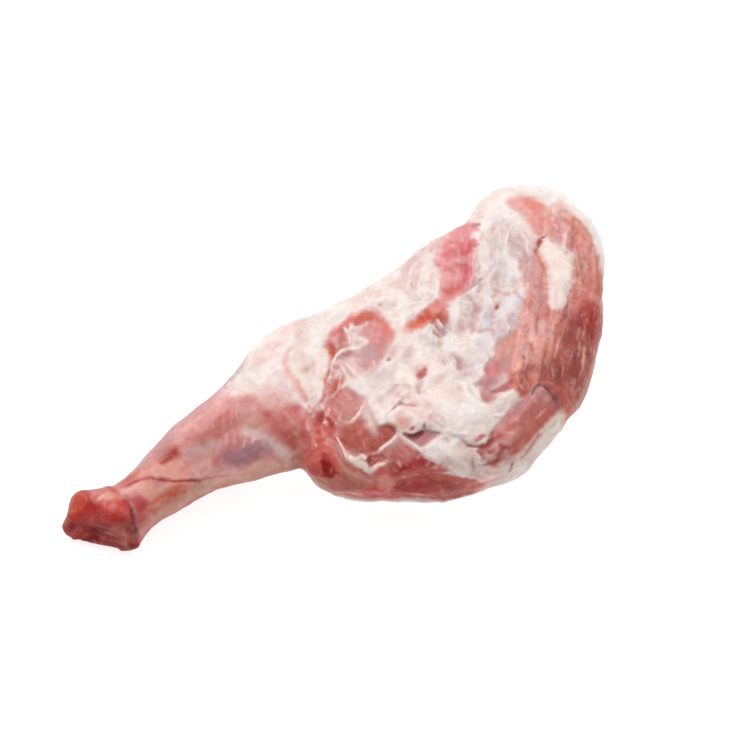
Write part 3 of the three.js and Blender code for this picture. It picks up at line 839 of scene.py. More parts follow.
def paint_low_window(s):
    """The muscles in the lower edge, under thin white fascia."""
    s.muscle("muscle", [(-20, -48), (-12, -48), (-6, -48.5), (-1, -47), (2, -54), (4, -66), (7, -72),
        (11, -77), (12, -84), (6, -82), (-2, -78), (-12, -74), (-22, -71), (-20, -64), (-17, -58),
        (-19, -53)], soft=1.6, ragged=1.2, height=-0.5, grain=0.2, turn=-60, fray=0.65)
    s.patch("pink membrane", [(-20, -47), (-8, -46), (-2, -46), (-1, -52), (-8, -50.5), (-16, -52)],
        soft=2.4, strength=0.7)
    s.patch("lean pink", [(-15, -53), (-4, -53), (0, -60), (-4, -64), (-14, -62)], ragged=2,
        strength=0.35)
    s.patch("cut red", [(-18, -62), (-4, -60), (3, -64), (2, -74), (-21, -70)], ragged=1.6, strength=0.6)
    s.patch("mauve", [(-18, -50), (-4, -49), (2, -64), (-6, -66), (-16, -62)], ragged=2, strength=0.35)
    s.patch("crimson", [(-18, -62), (-10, -60), (-4, -65), (-8, -72), (-18, -70)], soft=2.6, ragged=1.6,
        strength=0.3)
    s.strokes("dark muscle", [(2.2, (-2, -70), (1, -74)), ((1, 1.4), (-19.4, -50), (-15.4, -65)),
        (1.6, (2, -60), (3, -66)), (2, (4, -72), (8, -78), (7, -82))], strength=0.5, soft=1.3,
        height=-0.4)
    s.dabs("crimson", [(-4, -66.4, 5, 2.4, -10), (-12, -68, 4, 2.4, 0), (2, -70, 3, 2, -40),
        (-15, -60, 2, 4, 10)], strength=0.45, height=-0.2)
    s.strokes("salmon", [((1.2, 1.6), (-18, -50), (-14, -64)), (0.9, (-10, -52), (-8, -60)),
        (0.9, (-5, -52), (-3, -60)), (1, (-12, -60), (-9, -66)), (1, (-2, -60), (0, -66))], strength=0.5,
        height=0.3)
    s.spot("warm fat", (-13, -62.5), (1.2, 2), strength=0.6, height=0.3)
    s.muscle("mauve", [(1, -44.5), (5, -48), (13, -49.5), (18, -53), (21, -57), (14, -59.5), (8, -60),
        (5, -57), (2.4, -51)], soft=1.6, ragged=0.7, height=-1.0, grain=0.1)
    s.patch("lean pink", [(8, -53), (15, -52), (19, -55.5), (13, -58.5), (7, -57)], soft=2, strength=0.4)
    # Painted shadow under the lip above the mauve muscle.
    s.patch("dark muscle", [(1.5, -45), (6, -47.5), (13, -49.4), (14, -52), (4, -52)], soft=1.4,
        ragged=0.6, strength=0.8, height=-0.8)
    s.strokes("crevice shadow", [((0.8, 1.4), (3, -47), (8, -50), (13, -50))], strength=0.5, height=-0.4)
    s.strokes("pearl", [((2.2, 3.2), (-1, -46), (4, -61), (6, -68), (9.5, -75))], strength=0.85, soft=1.3,
        height=0.5)
    s.strokes("blush fat", [((1, 1.4), (0, -47), (4.6, -62)), (1, (7, -70), (10, -76))], strength=0.8,
        soft=0.8, height=0.4)
    s.strokes("pale membrane", [((2.6, 2), (-20, -72.5), (-10, -73.5), (-2, -76), (6, -78))], soft=1.5,
        height=0.3)
    s.strokes("dark muscle", [((1, 2), (-10, -77), (-3, -79.5), (4, -82.5))], strength=0.65, soft=1.1,
        height=-0.6)
    s.patch("dull fascia", [(9, -74), (20, -74), (30, -84), (30, -92), (24, -98), (10, -90)], soft=4,
        ragged=2, strength=0.6)
    s.patch("blush fat", [(6, -62), (20, -61), (28, -68), (24, -76), (12, -78)], soft=4, ragged=2)
    s.patch("pearl", [(5, -60), (12, -61), (30, -62), (36, -76), (36, -86), (30, -84), (22, -70),
        (10, -68)], ragged=1.5, strength=0.7)
    s.wrinkle([(4, -58), (24, -58), (38, -78), (38, -96), (18, -98), (9, -84)], 0.7, turn=-60)
    s.patch("pale membrane", [(10, -94), (20, -95), (36, -95), (42, -104), (26, -113), (12, -111)],
        ragged=2, strength=0.75)
    s.strokes("rose", [((1.4, 2.4), (12, -93), (18, -98), (24, -101)), (1.6, (26, -96), (30, -102)),
        (1.4, (32, -97), (36, -101))], strength=0.5, soft=1.5)
    s.strokes("pale membrane", [((2, 1), (5, -63), (0, -66)), ((2, 1), (7, -69), (1, -73)), ((2, 1),
        (10, -74), (3, -78)), ((2, 1), (12, -79), (5, -82)), ((1.6, 1), (8, -77), (2, -80))], soft=1.4,
        height=0.2)
    s.spot("wet red", (23, -104.5), (5, 2), turn=3, strength=0.8)
    # Painted shade along the folds and edges of the fascia.
    s.strokes("dark mauve", [((1.2, 1), (15, -50.4), (20, -54.5), (23, -58.5), (23.4, -66)), ((1, 1.6),
        (33, -72), (36, -77), (39, -80)), (1, (30, -85), (27, -92)), (1, (31, -91), (36, -94))],
        strength=0.55, soft=0.9, height=-0.8)
    s.strokes("white fat", [(1.4, (24.6, -58), (25, -66)), (1.2, (14, -62), (18, -72)), (1.2, (26, -70),
        (30, -80))], strength=0.7, height=0.5)


def paint_fat_pad(s):
    """The thick fat over the arm joint, its nodules, and the cut vessel at its lower edge."""
    s.patch("cream", [(-3, -32), (2, -42), (20, -50), (30, -67), (36, -73), (48, -74), (72, -69),
        (82, -63), (84, -57), (78, -52), (64, -52), (60, -44), (62, -34), (58, -24), (44, -19), (28, -18),
        (12, -20), (0, -27)], soft=2.5, ragged=1.6, strength=0.9, height=1.6)
    s.wrinkle([(-4, -24), (30, -8), (58, -10), (62, -30), (58, -52), (84, -58), (72, -70), (36, -74),
        (22, -52)], 0.5, turn=35)
    s.patch("blush fat", [(24, -56), (38, -72), (48, -66), (56, -62), (42, -60), (28, -54)], soft=4,
        ragged=2)
    s.patch("white fat", [(34, -44), (50, -42), (54, -52), (48, -62), (36, -58)], soft=5, ragged=2,
        strength=0.6)
    s.patch("white fat", [(48, -38), (58, -42), (58, -54), (66, -60), (64, -68), (54, -62), (48, -52)],
        soft=4, ragged=2, strength=0.6, height=0.4)
    s.patch("warm fat", [(66, -56), (82, -56), (84, -61), (74, -66), (68, -62)], ragged=1.5)
    s.patch("blue pearl", [(66, -16), (80, -8), (88, -10), (84, -20), (74, -28), (64, -30)], soft=3.5,
        ragged=2)
    s.patch("grey mauve", [(54, -20), (60, -18), (66, -22), (64, -29), (58, -32), (52, -27)], ragged=2,
        strength=0.4, height=-0.5)
    # Painted shade in the hollows between the fat's folds.
    s.dabs("grey mauve", [(31, -19.6, 4, 1.8, 30), (26, -36, 2, 2.6, 0), (29, -50, 1.2, 3, 0),
        (17, -47.6, 3, 1.4, 15), (52, -36, 2, 2, 0), (57, -41, 1.4, 3.4, -10), (58.4, 0.6, 3, 2.2, -30),
        (22, -15, 2, 3, 0), (74, -4, 4, 2, 20), (55, -12, 1.6, 3, 10), (46, -22, 6, 2.4, 0),
        (20, -22, 2, 1.6, 0), (24, 2, 5, 2, 10), (36, 4, 5, 2.4, 20), (52, 9, 4, 2, -35),
        (62, 3, 2, 3, 0), (14, -12, 6, 2.4, 20), (2, -14, 4, 2.2, 60), (12, 0, 5, 2, 30),
        (66, -64, 2, 3, 10), (76, -64, 3, 1.4, 20)], strength=0.5, soft=1.1, height=-0.7)
    s.dabs("old rose", [(63.6, -16, 2.2, 4.6, -15), (61, -22, 2.6, 2, 30), (36, -8, 4.4, 3, 0),
        (24, -17, 1.6, 3, 0), (31, -66, 4, 1.6, -30), (20, -31, 2.6, 3.4, 0), (40, 8, 5, 1.6, 30),
        (15, -17, 3, 1.4, 20), (28, -25, 2, 3, 20), (24, -44, 3, 2, 0), (30, 12, 5, 2, 20)], strength=0.5,
        soft=1, height=-0.3)
    s.dabs("mauve", [(63.4, -15, 1.6, 2.6, -10), (60.6, -29, 1, 1.6, 0)], strength=0.5, height=-0.3)
    s.dabs("rose", [(37.4, -12.2, 6, 3.4, 22)], height=-0.4)
    s.dabs("crimson", [(36.4, -12.6, 3.8, 2.3, 25), (40.4, -11, 2, 1.4, 20)], soft=0.8, height=-0.5)
    # Painted highlights on the crests of the fat's folds, which are also raised.
    s.strokes("white fat", [((1.6, 2.2), (19, 1.4), (26, 1.6), (30, -1), (31, -7)), ((1, 1.8), (28, -46),
        (31, -38), (35.5, -31)), ((1.2, 1.8), (43, 8), (48, 4), (52, -1)), (1.6, (30, -23), (34, -24)),
        ((1.4, 2), (28, -62), (33, -65), (37, -67)), ((1.4, 2), (60, -66), (66, -69)), (1.6, (34, -17),
        (42, -18), (50, -16)), ((1.4, 2), (-2, -6), (-1, -14), (3, -22)), (1.6, (8, -6), (16, -8),
        (22, -12)), ((2, 1.4), (52, -30), (58, -37)), (1.6, (84, -15), (83, -22), (80, -27)),
        (1.4, (54, 2), (52, 8))], strength=0.75, height=0.8)
    s.fat("blush fat", [(-4, -33), (-1.6, -29), (3, -27.4), (9, -26.6), (12, -28.6), (18, -32), (20, -38),
        (17, -44), (10, -46), (4, -43), (0, -41), (-3, -38)], soft=1.6, ragged=1.6, height=1.0)
    s.patch("pale membrane", [(-1, -36), (2, -31), (9, -30), (13, -33), (12, -39), (8, -43), (2, -41)],
        soft=2.4, ragged=1.4, strength=0.8)
    s.patch("salmon", [(1.6, -38), (3, -33.6), (7, -33), (9, -36), (8, -41), (4, -42)], soft=2,
        ragged=1.4, strength=0.75)
    s.patch("warm fat", [(-4, -33), (-1, -30), (2, -32), (1, -36), (-2.4, -37)], soft=1.4, ragged=0.8,
        strength=0.8)
    # A painted highlight along the nodule's upper rim, and a pale line down its right side.
    s.strokes("white fat", [((1.8, 2.8), (-3, -31.2), (0, -29), (4.6, -28.4), (9, -28.8)),
        (1.6, (12, -33), (14, -38), (13, -42))], strength=0.85, soft=0.9, height=0.4)
    s.strokes("blush fat", [((1.6, 2.4), (4, -44), (6, -46.4), (10, -48), (15, -48.2))], strength=0.9,
        soft=0.8, height=0.7)
    s.strokes("crimson", [((1.8, 1.2), (12, -25.4), (14, -27.6), (17, -29.2), (19.6, -31))],
        strength=0.55, soft=0.9, height=-0.5)
    # Painted shade in the creases above and under the nodule and in the pad's lower fold.
    s.strokes("dark mauve", [((1.2, 2.4), (5.4, -25.6), (8, -25), (11, -24.8)), ((1, 1.6), (31, -69),
        (33, -74), (37, -78)), (1.2, (16, -48.6), (18, -46.6))], strength=0.75, soft=0.8, height=-0.9)
    # Painted shade in the folds round the nodule and over the pad.
    s.strokes("grey mauve", [((0.8, 1.8), (-2, -29), (1.6, -26.8), (5.6, -25.6)), (1.6, (-4.6, -33),
        (-3.4, -38)), ((1.4, 2), (33, -18), (28.6, -21), (26, -25)), (1.6, (24, -49), (27, -55))],
        soft=0.9, height=-0.6)
    s.strokes("old rose", [(1.6, (11, -23.8), (15.6, -23)), ((1, 2), (14, -20), (19, -24))], strength=0.7,
        soft=0.9)
    s.dabs("beige", [(9, -44.6, 2, 1.3, 10)], strength=0.9, soft=0.7, height=-0.5)
    s.dabs("brown muscle", [(9, -44.4, 1.4, 0.8, 10), (52, -76, 2.4, 1.3, 10)], soft=0.8)
    s.dabs("pale membrane", [(39, -73.6, 3, 2.4, 0), (37, -76, 2.4, 2.4, 0)], strength=0.8, soft=0.8)
    s.dabs("wet red", [(43, -74, 3.6, 1.6, 8)], strength=0.55, height=-0.5)
    # Painted shadow under the pad's lower lip.
    s.strokes("dark mauve", [((1, 1.6), (33, -75), (38, -79), (44, -80.6), (50, -77)), (1.4, (49, -75),
        (54, -76.4))], soft=0.9, height=-0.9)
    s.dabs("salmon", [(42, 49.4, 1.6, 1.2, 30)], strength=0.7, soft=0.8)
    s.dabs("beige", [(42, 49.4, 1, 0.8, 30)], soft=0.8)


def paint_blade(s):
    """The thin pearly fascia over the hollow of the blade, with the flesh that shows through it."""
    s.wrinkle([(90, 30), (120, 34), (134, 60), (156, 64), (162, 36), (154, 14), (134, 2), (116, -18),
        (92, -28), (66, -26), (54, -8), (56, 14)], 0.85, turn=56)
    s.wrinkle([(40, 36), (58, 34), (80, 36), (96, 58), (106, 76), (60, 72), (36, 60)], 0.8, turn=52)
    s.patch("pearl", [(76, 24), (88, 28), (104, 26), (118, 34), (128, 50), (140, 60), (156, 54),
        (156, 24), (148, 12), (134, 4), (122, -8), (112, -20), (84, -28), (70, -30), (60, -14), (62, 8)],
        soft=5, ragged=3, strength=0.55)
    s.patch("blue pearl", [(80, -18), (92, -2), (106, 6), (124, 8), (130, 0), (110, -18)], soft=4,
        ragged=2.5, strength=0.8)
    s.patch("white fat", [(100, -2), (112, 4), (120, 2), (108, -6), (98, -8)], ragged=1.5, strength=0.7)
    s.patch("cream", [(66, 2), (76, 4), (84, -4), (82, -14), (70, -16), (62, -6)], soft=4, ragged=2.5,
        strength=0.6)
    # A greyer, sunk hollow of the fascia: partly its tone, partly painted shade.
    s.patch("grey shaded fat", [(72, 20), (90, 22), (96, 16), (88, 6), (76, 2), (70, 8)], ragged=2, height=-0.5)
    s.strokes("mauve", [((2, 2.6), (97, 23), (98, 18), (99, 14), (96, 11))], strength=0.45, soft=1.6,
        height=-0.6)
    # Painted shade along the lower edge of the pink muscle.
    s.strokes("dark mauve", [((1, 1.6), (100, 27), (109, 28.4), (112, 29.6))], strength=0.65, soft=1.2,
        height=-0.8)
    s.strokes("dark mauve", [((0.8, 1.4), (112, 33), (115, 35.6), (118, 39))], strength=0.4, soft=1.3,
        height=-0.4)
    s.strokes("mauve", [((5, 4), (97, 13), (93, 8), (88, 3), (84, -3)), (3, (116, 17), (118, 12),
        (121, 9)), ((3, 2), (127, 8), (126, 2), (127, -3)), ((4, 3), (62, -11), (64, -16), (60, -22)),
        (2.4, (88, -6), (95, -8)), ((2, 3), (98, -5), (102, -2)), (3, (106, 22), (110, 26))], soft=2,
        height=-0.6)
    # Painted shade in the folds of the fascia, as grey mauve lines and spots.
    s.strokes("grey mauve", [((2, 3), (48, 44), (51, 44)), ((4, 5), (79, 40), (82, 43)), ((2, 2.6),
        (115, 36), (118, 41), (122, 45)), (2, (130, 15), (137, 12), (140, 16)), (2.4, (101, 10),
        (106, 7)), ((2, 3), (90, 2), (98, 2), (104, 0)), ((4, 2), (132, 32), (137, 42), (139, 50)),
        ((3, 2), (122, 22), (130, 42)), ((2, 3), (141, 34), (146, 42), (150, 52)), (2, (124, 14),
        (120, 24), (124, 30)), (2, (56, 4), (61, 0)), (2, (50, 5), (56, 3)), (2, (52, 14), (55, 11)),
        ((2, 3), (60, -26), (64, -30)), (2, (52, 28), (58, 30)), (2.4, (62, 44), (64, 50))],
        strength=0.42, soft=2, height=-0.3)
    s.strokes("old rose", [(2, (60, 47), (65, 54)), (2, (64, 51), (69, 59), (74, 65), (80, 70)), ((3, 2),
        (148, 44), (150, 36), (148, 26)), (3, (140, 22), (145, 27), (150, 30)), (2, (104, 3), (110, 7)),
        (3, (110, 10), (112, 14)), (2, (74, 55), (80, 60), (89, 63)), (2.4, (142, 12), (148, 16),
        (153, 24)), (2, (82, 46), (88, 54), (97, 64)), (2, (88, 12), (93, 6), (92, 2)), (2, (134, 14),
        (140, 13), (142, 9)), (2.4, (140, 58), (146, 64)), (2, (130, 56), (136, 62))], soft=1.8,
        height=-0.3)
    # Painted highlights on the crests of the fascia's folds, which are also raised.
    s.strokes("white fat", [(2, (101, 16), (106, 18), (113, 19.5)), ((1.4, 2), (114, 38), (126, 55)),
        (1.8, (104, 12), (112, 11)), (1.6, (122, 21), (124, 12)), (1.6, (126, 17), (131, 9)),
        (1.4, (57, 50), (64, 60), (70, 65)), (1.4, (82, 19), (91, 16)), (2, (100, -3), (105, -4)),
        (1.4, (86, 52), (94, 62)), (1.6, (135, 36), (141, 48)), (1.6, (128, 24), (134, 36)),
        (1.6, (144, 22), (148, 32)), (1.4, (92, 20), (96, 17)), (1.4, (66, -4), (76, -8)),
        (1.6, (142, 40), (148, 50)), (1.4, (106, -10), (114, -4)), (1.4, (84, -10), (92, -12)),
        (1.6, (116, 26), (122, 36))], strength=0.75, soft=1.2, height=0.6)
    s.spot("crimson", (109.6, 4.8), (2.0, 1.4), turn=40, soft=0.7, strength=0.75)
    s.patch("pale membrane", [(126, 12), (138, 16), (146, 12), (140, 4), (130, 4)], ragged=2,
        strength=0.55)
    s.patch("white fat", [(124, 58), (136, 62), (150, 62), (160, 66), (166, 74), (150, 90), (120, 84),
        (112, 76)], soft=4, ragged=2, strength=0.7)
    s.strokes("blush fat", [(3, (136, 76), (142, 75), (148, 78)), (3, (126, 70), (140, 72))],
        strength=0.9, soft=2)
    s.strokes("warm fat", [((2, 4), (142, 78), (150, 82), (160, 82))], strength=0.8, soft=2)
    s.patch("blush fat", [(60, 46), (78, 46), (92, 56), (104, 70), (96, 76), (66, 62)], soft=4, ragged=2,
        strength=0.8)
    s.patch("pale membrane", [(70, 64), (92, 73), (104, 73), (98, 66)], ragged=1.5, strength=0.55)
    s.patch("white fat", [(84, 26), (88, 34), (92, 42), (86, 46), (78, 42), (76, 32)])


def paint_blade_muscles(s):
    """The orange slice and the pink muscle that show on the far side of the blade."""
    s.muscle("orange muscle", [(44, 20), (49, 25), (57, 27), (67, 29), (75, 31), (80, 28), (78, 19),
        (73, 15), (67, 18), (60, 19.5), (52, 19)], soft=1.4, ragged=0.9, height=-0.4, turn=15, fray=0.8)
    s.patch("salmon", [(68, 29), (78, 31), (82, 26), (77, 18), (72, 20)], strength=0.8)
    s.patch("salmon", [(43, 20), (50, 22), (60, 21), (64, 19), (52, 17)], soft=2, strength=0.6)
    s.patch("blush fat", [(42, 22), (46, 24), (49, 22), (47, 19), (42, 18)], soft=2, strength=0.6)
    s.patch("muscle", [(68, 21), (75, 22), (76, 16), (73, 13)], soft=1.6, strength=0.8)
    s.patch("mauve", [(60, 12), (66, 17), (74, 14), (72, 6), (64, 4), (59, 7)], soft=2.5, ragged=2,
        strength=0.55)
    s.strokes("brown muscle", [((2.8, 1.6), (65.5, 18), (66.5, 10)), ((3.2, 1.8), (72, 18), (72.5, 14),
        (71, 11)), ((1.4, 0.8), (62, 11), (63, 6)), ((1.4, 0.8), (68, 9), (66, 5))], strength=0.5,
        soft=1.4, height=-0.8)
    s.strokes("white fat", [((2, 1.4), (69, 11), (69.2, 15), (70, 18)), (1.2, (63, 16), (64, 10)),
        (1.2, (70, 7), (72, 3))], strength=0.9, soft=0.9, height=0.7)
    s.muscle("bright pink", [(78, 27), (90, 26), (100, 28), (106, 31), (111, 37), (116, 43), (121, 50),
        (126, 56), (124, 60), (127, 64), (136, 67), (132, 72), (124, 76), (113, 75), (106, 70), (99, 63),
        (93, 57), (92, 50), (88, 43), (83, 35)], soft=2.4, ragged=1.6, height=-0.3, grain=0.25, turn=50,
        fray=1.1)
    s.patch("salmon", [(80, 30), (88, 26), (96, 28), (92, 34), (88, 40)])
    s.patch("wet red", [(87, 36), (95, 34), (97, 30), (90, 29), (86, 32)], soft=2.8, ragged=1.4,
        strength=0.6)
    s.patch("raspberry", [(96, 46), (106, 44), (116, 46), (114, 38), (107, 31), (100, 33)], soft=3.4,
        ragged=2)
    s.patch("raspberry", [(98, 58), (118, 70), (122, 62), (112, 52), (102, 52)], soft=4, ragged=2,
        strength=0.35)
    s.patch("raspberry", [(112, 54), (118, 60), (126, 59), (122, 52), (115, 50)], soft=2, strength=0.55)
    s.dabs("crimson", [(99, 46, 3, 1.4, 60), (120, 56, 4, 1.4, 35), (108, 40, 3, 2, 45)], strength=0.3)
    s.patch("pale membrane", [(86, 44), (92, 40), (98, 36), (104, 42), (92, 52)], soft=3.5, ragged=2,
        strength=0.6)
    s.patch("pink membrane", [(94, 58), (98, 52), (114, 46), (120, 50), (112, 52), (104, 54), (100, 60)],
        ragged=1.5, strength=0.75)
    s.patch("pink membrane", [(110, 74), (118, 72), (128, 72), (134, 68), (114, 66)])
    s.patch("pink membrane", [(108, 56), (126, 60), (124, 68), (114, 70), (106, 64)], soft=4, ragged=2,
        strength=0.45)
    s.patch("pale membrane", [(96, 58), (104, 66), (112, 73), (104, 70), (96, 62)], soft=2.5,
        strength=0.7)
    s.strokes("mauve", [((1.6, 2.2), (130, 70), (136, 67.6)), (1.4, (120, 62), (126, 64))], strength=0.8)
    s.strokes("dark mauve", [((1.2, 2), (104, 50), (108, 46), (113, 42)), (1.4, (98, 47), (100, 43))],
        strength=0.5, soft=1.4)
    s.strokes("pale membrane", [((1, 1.6), (100, 30), (108, 38), (116, 50)), ((1, 1.4), (94, 34),
        (104, 46)), ((1, 1.4), (106, 48), (112, 58)), ((1, 1.4), (118, 62), (122, 70)), (1.2, (112, 60),
        (108, 70)), (1.2, (114, 66), (111, 74))], strength=0.5, soft=1.2, height=0.2)
    s.strokes("salmon", [((2, 3), (113, 42), (118, 50), (124, 57))], strength=0.7, soft=1.4, height=0.3)
    s.strokes("blush fat", [((1.6, 2), (104, 31), (110, 36), (116, 44), (122, 53))], strength=0.7,
        soft=1.2, height=0.5)


def paint_strip(s):
    """The purple-pink muscle under thin membrane between the fat pad and the rib muscle."""
    s.muscle("mauve", [(61, -54), (60.4, -50), (63, -46), (65, -42), (64, -38.4), (69, -37),
        (73.4, -35.6), (75, -32), (78, -29.6), (83, -28.4), (87, -27), (88.4, -23.6), (92, -21),
        (97, -19), (105, -17.4), (114, -17), (110, -26), (102, -34), (94, -42), (90, -47), (89, -52),
        (84, -54), (78, -53.4), (70, -52.4), (67, -54.6), (63.4, -55.6)], soft=1.6, ragged=1.2,
        height=-0.5, grain=0.2, turn=38, fray=0.7)
    s.patch("old rose", [(61, -52), (66, -44), (92, -22), (104, -18), (98, -30), (88, -42), (84, -52)])
    s.patch("lean pink", [(74, -37), (77, -31), (92, -29), (94, -33), (88, -38), (80, -40)], soft=2.4,
        ragged=1.4, strength=0.65)
    s.patch("bruise", [(67, -39), (74, -38), (77, -42), (74, -45.6), (68, -45)], soft=2, ragged=1.4,
        strength=0.3)
    s.patch("lean pink", [(67, -39), (74, -38), (77, -42), (74, -45.6), (68, -45)], soft=2, ragged=1.4,
        strength=0.3)
    s.patch("salmon", [(87, -28), (89, -23), (96, -20), (104, -19), (106, -24), (92, -30)], soft=2.4,
        ragged=1.5, strength=0.75)
    s.patch("light muscle", [(90, -28), (94, -24), (100, -23), (99, -28), (94, -30)], soft=2.4,
        strength=0.4)
    s.patch("grey mauve", [(87, -35), (93, -29), (102, -28), (107, -31), (99, -41), (91, -44)], ragged=2)
    s.patch("beige", [(95, -20), (103, -18), (112, -17), (108, -22), (100, -22.4)], soft=1.8,
        strength=0.45)
    s.patch("pearl", [(86, -41), (88, -44), (85, -47.6), (76, -48), (70, -48), (72, -45.6), (78, -45.6)],
        soft=1.8, ragged=1.2)
    s.patch("blue pearl", [(82, -42), (86, -41), (87, -45), (84, -46)], soft=1.8, strength=0.3)
    s.patch("pink membrane", [(61, -50), (64, -46), (67, -47), (66, -50), (62, -53)], soft=1.6,
        strength=0.6)
    s.patch("cut red", [(68, -50), (76, -49), (84, -49), (85, -53), (78, -53.6)], soft=1.5, ragged=1.2,
        strength=0.45, height=-0.4)
    s.dabs("muscle", [(64, -52, 2, 1.8, 0), (70, -42, 2, 1.2, 20), (71.4, -49.6, 2.6, 1, 0),
        (76, -34, 1.4, 2, -30)], strength=0.5, height=-0.2)
    s.dabs("dark blood", [(86, -50.4, 1.6, 2, -20)], strength=0.75, soft=0.8, height=-1)
    s.strokes("grey mauve", [((1.4, 2), (62, -40), (66, -37.4), (72, -36)), (1.4, (59, -37),
        (61.6, -39))], soft=1.1, height=-0.3)
    s.strokes("pale membrane", [((0.8, 1.4), (66, -47), (76, -42)), ((0.8, 1.4), (76, -47), (86, -38)),
        ((0.8, 1.2), (84, -36), (96, -28))], strength=0.35, soft=1.2, height=0.2)


